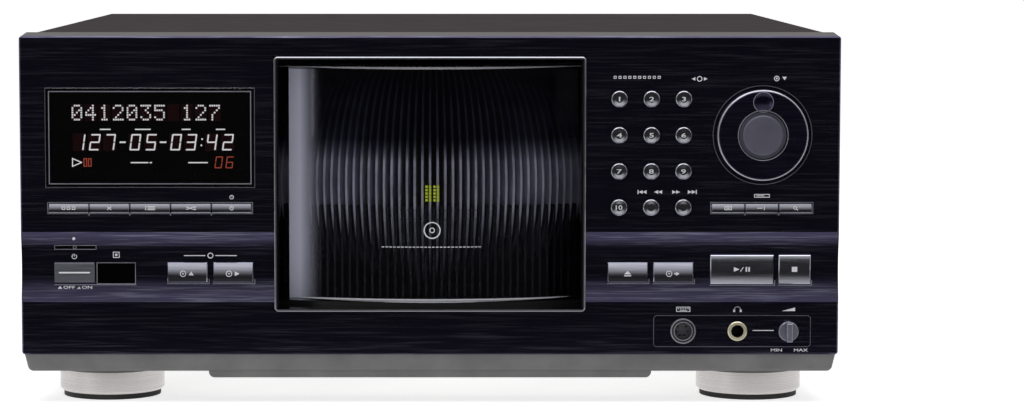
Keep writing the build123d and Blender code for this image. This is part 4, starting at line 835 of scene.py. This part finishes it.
def sign_list(p, x, z):
    for rise in (-0.75, 0.0, 0.75):
        p.bar(x - 2.6 * MM, x - 1.9 * MM, z + (rise - 0.2) * MM, z + (rise + 0.2) * MM)
        p.bar(x - 1.3 * MM, x + 2.6 * MM, z + (rise - 0.2) * MM, z + (rise + 0.2) * MM)


def sign_shuffle(p, x, z):
    for way in (1, -1):
        p.stroke(x - 2.2 * MM, z - way * 0.6 * MM, x + 1.4 * MM, z + way * 0.6 * MM, SIGN_LINE)
        p.triangle(x + 2.3 * MM, z + way * 0.6 * MM, 1.2 * MM, 1.0 * MM)


def sign_clock(p, x, z):
    p.ring(x, z, 0.95 * MM, 0.3 * MM, 24)
    p.stroke(x, z, x, z + 0.55 * MM, 0.25 * MM)
    p.stroke(x, z, x + 0.4 * MM, z, 0.25 * MM)


def sign_screen(p, x, z):
    p.frame(x - 1.9 * MM, x + 1.9 * MM, z - 0.95 * MM, z + 0.95 * MM, SIGN_LINE)
    p.bar(x - 1.0 * MM, x + 1.0 * MM, z - 0.2 * MM, z + 0.2 * MM)


def sign_cursor(p, x, z):
    p.bar(x - 2.4 * MM, x + 0.2 * MM, z - 0.2 * MM, z + 0.2 * MM)
    p.bar(x + 1.0 * MM, x + 1.4 * MM, z - 0.95 * MM, z + 0.95 * MM)


def sign_glass(p, x, z):
    p.ring(x - 0.3 * MM, z + 0.15 * MM, 0.75 * MM, 0.3 * MM, 20)
    p.stroke(x + 0.3 * MM, z - 0.4 * MM, x + 1.0 * MM, z - 0.95 * MM, 0.4 * MM)


def small_disc(p, x, z):
    p.ring(x - 2.2 * MM, z, 1.4 * MM, 0.4 * MM, 28)
    p.disc(x - 2.2 * MM, z, 0.4 * MM, 12)


def sign_disc_up(p, x, z):
    small_disc(p, x, z)
    p.arrow(x + 2.0 * MM, z + 0.2 * MM, 2.6 * MM, 2.0 * MM)


def sign_disc_play(p, x, z):
    small_disc(p, x, z)
    p.triangle(x + 2.0 * MM, z, 2.4 * MM, 2.4 * MM)


def sign_eject(p, x, z):
    p.arrow(x, z + 0.6 * MM, 3.6 * MM, 1.8 * MM)
    p.bar(x - 1.8 * MM, x + 1.8 * MM, z - 1.3 * MM, z - 0.75 * MM)


def sign_unload(p, x, z):
    small_disc(p, x, z)
    p.triangle(x + 2.3 * MM, z, 1.8 * MM, 2.0 * MM)
    p.bar(x + 0.4 * MM, x + 1.5 * MM, z - 0.35 * MM, z + SIGN_LINE)


SLIM_SIGNS = dict(zip(MODE_KEYS + TITLE_KEYS, (sign_cards, sign_cross, sign_list, sign_shuffle, sign_clock,
                                               sign_screen, sign_cursor, sign_glass)))
BAND_SIGNS = dict(zip(LOADER_KEYS + DOOR_KEYS, (sign_disc_up, sign_disc_play, sign_eject, sign_unload)))


def key_signs():
    for signs, y, drop, lower in ((SLIM_SIGNS, SLIM_KEY_Y, SLIM_KEY_DROP, 0.0),
                                  (BAND_SIGNS, BAND_KEY_Y, BAND_KEY_DROP, 0.6 * MM)):
        for name, draw in signs.items():
            spot, print_on = centre(name), Print(key_surface(name, y, drop))
            draw(print_on, spot.x, spot.z - lower)
            print_on.make(f"{name}_sign", legend_mat, name)


def panel_signs():
    """Small signs beside the controls."""
    p = Print(FACE_Y)
    digits, dial = centre("digit_1"), centre("jog_dial")
    over_dial = dial.z + 28.8 * MM
    for i in range(10):
        x = digits.x + (-3.0 + 2.5 * i) * MM
        p.frame(x, x + 1.5 * MM, digits.z + 10.4 * MM, digits.z + 11.8 * MM, SIGN_LINE)
    p.triangle(dial.x - 35.5 * MM, over_dial, 1.8 * MM, 1.8 * MM, -1)
    p.ring(dial.x - 32.4 * MM, over_dial, 1.2 * MM, 0.4 * MM, 24)
    p.triangle(dial.x - 29.3 * MM, over_dial, 1.8 * MM, 1.8 * MM, 1)
    p.ring(dial.x + 7.0 * MM, dial.z + 29.0 * MM, 1.2 * MM, 0.4 * MM, 24)
    p.disc(dial.x + 7.0 * MM, dial.z + 29.0 * MM, 0.5 * MM, 12)
    p.arrow(dial.x + 11.0 * MM, dial.z + 29.0 * MM, 2.4 * MM, 1.8 * MM, -1)
    title = centre("title_input_key")
    p.frame(title.x - 4.0 * MM, title.x + 4.0 * MM, title.z + 5.4 * MM, title.z + 7.2 * MM, SIGN_LINE)
    p.bar(title.x - 2.8 * MM, title.x + 1.2 * MM, title.z + 6.1 * MM, title.z + 6.5 * MM)
    time = centre("time_key")
    sign_clock(p, time.x, time.z + 5.6 * MM)
    socket_signs(p)
    p.make("panel_signs", legend_mat, "case")


def socket_signs(p):
    """Keyboard, headphones and volume signs over the sockets."""
    keyboard, jack, knob = centre("keyboard_socket"), centre("phones_jack"), centre("level_knob")
    z = knob.z + 11.3 * MM
    p.frame(keyboard.x - 3.6 * MM, keyboard.x + 3.6 * MM, z - 1.3 * MM, z + 1.3 * MM, SIGN_LINE)
    for column in range(5):
        x = keyboard.x + (column - 2) * 1.25 * MM
        p.bar(x - 0.3 * MM, x + 0.3 * MM, z + 0.1 * MM, z + 0.6 * MM)
    p.bar(keyboard.x - 1.8 * MM, keyboard.x + 1.8 * MM, z - 0.65 * MM, z - 0.3 * MM)
    band = [math.radians(180 - 20 * i) for i in range(10)]
    for a, b in zip(band, band[1:]):
        p.stroke(jack.x + 1.7 * MM * math.cos(a), z + 1.6 * MM * math.sin(a) - 0.3 * MM,
                 jack.x + 1.7 * MM * math.cos(b), z + 1.6 * MM * math.sin(b) - 0.3 * MM, SIGN_LINE)
    for side in (-1.7 * MM, 1.7 * MM):
        p.bar(jack.x + side - 0.5 * MM, jack.x + side + 0.5 * MM, z - 1.4 * MM, z - 0.1 * MM)
    left, right = knob.x - 3.4 * MM, knob.x + 3.4 * MM
    p.outline([(left, z - 0.9 * MM), (right, z - 0.9 * MM), (right, z + 0.9 * MM)])


def band_signs():
    """Signs printed in the band: power, sensor, loader group; ON and OFF under the power button."""
    p = Print(scoop_y, BAND_PRINT)
    power, lenses = centre("power_button"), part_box("front_lenses")
    x, z = power.x - 0.2 * MM, power.z + 8.1 * MM
    for i in range(14):
        a, b = math.radians(120 + i * 22), math.radians(142 + i * 22)
        if b < math.radians(425):
            p.stroke(x + 1.2 * MM * math.cos(a), z + 1.2 * MM * math.sin(a),
                     x + 1.2 * MM * math.cos(b), z + 1.2 * MM * math.sin(b), SIGN_LINE)
    p.stroke(x, z + 0.2 * MM, x, z + 1.3 * MM, SIGN_LINE)
    p.disc(x, lenses[1].z + 3.4 * MM, 0.8 * MM, 16)
    sensor = lenses[1].x - 10.0 * MM
    p.frame(sensor - 1.7 * MM, sensor + 1.7 * MM, z - 0.7 * MM, z + 2.5 * MM, 0.4 * MM)
    p.disc(sensor, z + 0.9 * MM, 0.7 * MM, 16)
    loader = (centre("loader_access_key").x + centre("loader_play_key").x) / 2
    z = centre("loader_play_key").z + 8.6 * MM
    p.ring(loader, z, 1.3 * MM, 0.4 * MM, 28)
    for way in (-1, 1):
        p.bar(*sorted((loader + way * 2.6 * MM, loader + way * 13.6 * MM)), z - 0.2 * MM, z + 0.2 * MM)
    z = power.z - 7.7 * MM
    p.arrow(power.x - 7.6 * MM, z, 2.2 * MM, 1.5 * MM)
    p.arrow(power.x + 2.2 * MM, z - 0.2 * MM, 2.0 * MM, 1.1 * MM)
    p.make("band_signs", legend_mat, "case")
    for text, off in (("OFF", -2.9), ("ON", 6.3)):
        lettering(f"{text.lower()}_mark", text, power.x + off * MM, z, scoop_y(0.0, z) - BAND_PRINT,
                  MARK_H, "case", 1.7)


def range_marks():
    knob = centre("level_knob")
    for text, off in (("MIN", -6.0), ("MAX", 6.6)):
        lettering(f"{text.lower()}_mark", text, knob.x + off * MM, knob.z - 9.8 * MM, FACE_Y,
                  MARK_H, "case", 1.6)


def power_bar():
    """White insert along the raised bar of the power button."""
    spot, insert = centre("power_button"), Print(BAND_KEY_Y, 0.03 * MM, 0.02 * MM)
    insert.bar(spot.x - 8.0 * MM, spot.x + 8.0 * MM, spot.z - 0.4 * MM, spot.z + 0.4 * MM)
    insert.make("power_bar", legend_mat, "power_button")


key_numerals()
track_marks()
play_marks()
key_signs()
panel_signs()
band_signs()
range_marks()
power_bar()


# -------- prints on the door
LAMP_X, LAMP_FOOT = 1.1 * MM, 103.6 * MM
SIGN_Z, DASHES_Z = 88.8 * MM, 80.1 * MM
DASHES_FROM, DASHES_TO = -25.0 * MM, 27.0 * MM


def door_prints():
    """Lamp columns behind the pane, a plain disc sign and a broken line on it."""
    lamp = Print(door_back_y, 0.02 * MM, 0.02 * MM)
    for left in (-3.5, -1.7, 0.6, 2.4):
        for row in range(5):
            x, z = LAMP_X + left * MM, LAMP_FOOT + row * 1.75 * MM
            lamp.bar(x, x + 1.25 * MM, z, z + 1.2 * MM)
    lamp.make("door_lamp", lamp_glow, "door")
    ticks = Print(door_back_y, 0.02 * MM, 0.02 * MM)
    for i in range(24):
        for z in (98.8 * MM, 94.0 * MM):
            x = (-15.5 + 1.75 * i) * MM
            ticks.bar(x, x + 0.9 * MM, z, z + 0.5 * MM)
    ticks.make("door_ticks", dim_line_mat, "door")
    sign = Print(door_y, 0.03 * MM, 0.02 * MM)
    sign.ring(LAMP_X, SIGN_Z, 4.1 * MM, 0.6 * MM, 48)
    sign.ring(LAMP_X, SIGN_Z, 1.2 * MM, 0.5 * MM, 24)
    count = 26
    step = (DASHES_TO - DASHES_FROM) / count
    for i in range(count):
        x = DASHES_FROM + i * step
        sign.bar(x, x + step * 0.7, DASHES_Z - 0.2 * MM, DASHES_Z + 0.2 * MM)
    sign.make("door_sign", legend_mat, "door")


door_prints()

# -------- cover screws
SCREW_R, SCREW_PROUD = 3.6 * MM, 1.9 * MM
SCREW_DOME = ((1.0, 0.0), (1.0, 0.45), (0.9, 0.75), (0.6, 0.93), (0.2, 1.0))    # shares of both
SCREW_INSET = 30.0 * MM                   # from the bonnet's ends
SCREW_UP = 9.2 * MM                       # above the bonnet's lower edge


def screw(name, side, y, z):
    """Domed head on one side of the bonnet."""
    x0 = side * (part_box("top_cover")[1].x - 0.05 * MM)
    verts, faces, steps = [], [], 24
    rings = [(SCREW_R * share, out) for share, out in SCREW_DOME]
    for r, out in rings:
        for i in range(steps):
            a = 2 * math.pi * i / steps
            verts.append((x0 + side * out * SCREW_PROUD, y + r * math.cos(a), z + r * math.sin(a)))
    for k in range(len(rings) - 1):
        for i in range(steps):
            j = (i + 1) % steps
            faces.append([k * steps + i, k * steps + j, (k + 1) * steps + j, (k + 1) * steps + i])
    faces.append(list(reversed(range(steps))))
    faces.append([(len(rings) - 1) * steps + i for i in range(steps)])
    piece(name, verts, faces, moulding_mat, "case", "moulding")


COVER_LOW, COVER_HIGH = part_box("top_cover")
for side, side_name in ((-1, "left"), (1, "right")):
    for number, y in enumerate((COVER_LOW.y + SCREW_INSET, AXIS_Y, COVER_HIGH.y - SCREW_INSET), 1):
        screw(f"cover_screw_{side_name}_{number}", side, y, COVER_LOW.z + SCREW_UP)

# -------- rack of discs
DISC_HALF_T = 0.6 * MM
HOLE_R = 7.5 * MM
RIM_SIDES = 96


def disc_set():
    """A disc in every slot of the rack, on edge, its plane through the rack's axis."""
    verts, faces = [], []
    for i in range(SLOTS):
        angle = math.radians(270 + i * 360 / SLOTS)
        out = Vector((math.cos(angle), math.sin(angle), 0))
        side = Vector((-math.sin(angle), math.cos(angle), 0))
        middle = Vector((0, AXIS_Y, DISC_Z)) + out * DISC_RING_R
        start = len(verts)
        for k in range(RIM_SIDES):
            turn = 2 * math.pi * k / RIM_SIDES
            ray = out * math.cos(turn) + Vector((0, 0, 1)) * math.sin(turn)
            for r in (HOLE_R, DISC_R):
                verts.append(middle + ray * r - side * DISC_HALF_T)
                verts.append(middle + ray * r + side * DISC_HALF_T)
        for k in range(RIM_SIDES):
            a, b = start + 4 * k, start + 4 * ((k + 1) % RIM_SIDES)
            faces += [[a + 2, b + 2, b + 3, a + 3], [a, a + 1, b + 1, b],
                      [a, b, b + 2, a + 2], [a + 1, a + 3, b + 3, b + 1]]
    return verts, faces


def disc_finish():
    mat = principled("disc_edge", (0.80, 0.80, 0.86), 0.28)
    tint(mat, noise(mat, 70.0, 2.0), (0.58, 0.58, 0.64), (0.96, 0.96, 1.0))
    return mat


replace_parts(piece("loaded_discs", *disc_set(), disc_finish(), "rack", "disc"), "discs")

# -------- stage, lights and camera
FLOOR_HALF = 12.0                         # metres
NEAR_FLOOR, FAR_FLOOR = 0.110, 0.150      # the floor that metal sees darkens between these, in front
CAMERA_WHITE = 0.62                       # added to the light the floor gets, where the camera sees it


def looked_at(owner, rays):
    """1 for rays from the camera, straight or through clear sheets."""
    return math_node(owner, "MAXIMUM", rays.outputs["Is Camera Ray"], rays.outputs["Is Transmission Ray"])


def floor_finish():
    """White to the camera with part of the object's shadow; to metal it darkens in front."""
    mat = principled("floor_white", (0.92, 0.92, 0.92), 0.9)
    shader_of(mat).inputs["Specular IOR Level"].default_value = 0.0
    part_white = add(mat, "ShaderNodeEmission", Strength=CAMERA_WHITE)
    white = add(mat, "ShaderNodeEmission", Strength=1.0)
    dark = add(mat, "ShaderNodeEmission", Strength=0.03)
    rays = add(mat, "ShaderNodeLightPath")
    near = spread(mat, object_axis(mat, "Y"), 0.0, 1.0, FACE_Y - FAR_FLOOR, FACE_Y - NEAR_FLOOR)
    in_metal = mixed(mat, near, dark.outputs[0], white.outputs[0])
    plain = shader_of(mat).outputs[0]
    seen = add(mat, "ShaderNodeAddShader")
    join(mat, plain, seen.inputs[0])
    join(mat, part_white.outputs[0], seen.inputs[1])
    other = mixed(mat, rays.outputs["Is Glossy Ray"], plain, in_metal)
    surface(mat, mixed(mat, looked_at(mat, rays), other, seen.outputs[0]))
    return mat


def make_floor():
    mesh = bpy.data.meshes.new("floor")
    corners = [(-FLOOR_HALF, -FLOOR_HALF, 0), (FLOOR_HALF, -FLOOR_HALF, 0),
               (FLOOR_HALF, FLOOR_HALF, 0), (-FLOOR_HALF, FLOOR_HALF, 0)]
    mesh.from_pydata(corners, [], [[0, 1, 2, 3]])
    mesh.materials.append(floor_finish())
    floor = bpy.data.objects.new("floor", mesh)
    scene.collection.objects.link(floor)


WORLD_FILL = 0.44
DARK_FRONT, METAL_WHITE = 0.016, 0.8      # what metal sees level with the camera, and above
BRIGHT_FROM, BRIGHT_AT = 0.10, 0.42       # sine of the height at which the front turns white


def make_world():
    """White behind and above for camera, metal and glass, dark in front; a plain fill for the rest."""
    world = bpy.data.worlds.new("studio")
    world.use_nodes = True
    scene.world = world

    def shade(strength):
        return add(world, "ShaderNodeBackground", Color=(1.0, 1.0, 1.0, 1.0), Strength=strength).outputs[0]

    rays = add(world, "ShaderNodeLightPath")
    parts = add(world, "ShaderNodeSeparateXYZ")
    join(world, add(world, "ShaderNodeTexCoord").outputs["Generated"], parts.inputs["Vector"])
    behind = spread(world, parts.outputs["Y"], 0.0, 1.0, -0.30, 0.10)
    above = spread(world, parts.outputs["Z"], 0.0, 1.0, BRIGHT_FROM, BRIGHT_AT)
    bright = math_node(world, "MAXIMUM", behind, above)
    in_metal = mixed(world, bright, shade(DARK_FRONT), shade(METAL_WHITE))
    other = mixed(world, rays.outputs["Is Glossy Ray"], shade(WORLD_FILL), in_metal)
    seen = mixed(world, looked_at(world, rays), other, shade(1.0))
    tree = world.node_tree
    tree.nodes.remove(tree.nodes["Background"])
    join(world, seen, tree.nodes["World Output"].inputs["Surface"])


def softbox(name, place, aim, width, height, brightness, color=(1.0, 1.0, 1.0)):
    """Area light of an even brightness, turned towards a point."""
    light = bpy.data.lights.new(name, "AREA")
    light.shape = "RECTANGLE"
    light.size, light.size_y = width, height
    light.energy = brightness * math.pi * width * height
    light.color = color
    made = bpy.data.objects.new(name, light)
    made.location = place
    made.rotation_euler = (Vector(aim) - Vector(place)).to_track_quat("-Z", "Y").to_euler()
    scene.collection.objects.link(made)


make_floor()
make_world()
softbox("top_box", (0.0, -0.30, 1.5), (0.0, -0.1, 0.1), 2.0, 1.1, 1.6)
softbox("left_box", (-1.62, -1.45, 0.45), (0.0, FACE_Y, 0.11), 0.95, 1.5, 1.2, (0.94, 0.96, 1.0))

CAMERA_X, CAMERA_Z = 4.11 * MM, 241.5 * MM
CAMERA_DISTANCE = 1613.8 * MM             # in front of the panel's face
CAMERA_DOWN = 5.0                         # degrees below the level
LENS, SENSOR = 111.078, 36.0
SIDE_SHIFT = 0.0723                       # the object stands left of the picture's middle


def make_camera():
    data = bpy.data.cameras.new("camera")
    data.lens, data.sensor_width = LENS, SENSOR
    data.shift_x = SIDE_SHIFT
    data.clip_start, data.clip_end = 0.05, 60.0
    camera = bpy.data.objects.new("camera", data)
    camera.location = (CAMERA_X, FACE_Y - CAMERA_DISTANCE, CAMERA_Z)
    camera.rotation_euler = (math.radians(90 - CAMERA_DOWN), 0, 0)
    scene.collection.objects.link(camera)
    scene.camera = camera


make_camera()
scene.view_settings.view_transform = "Standard"
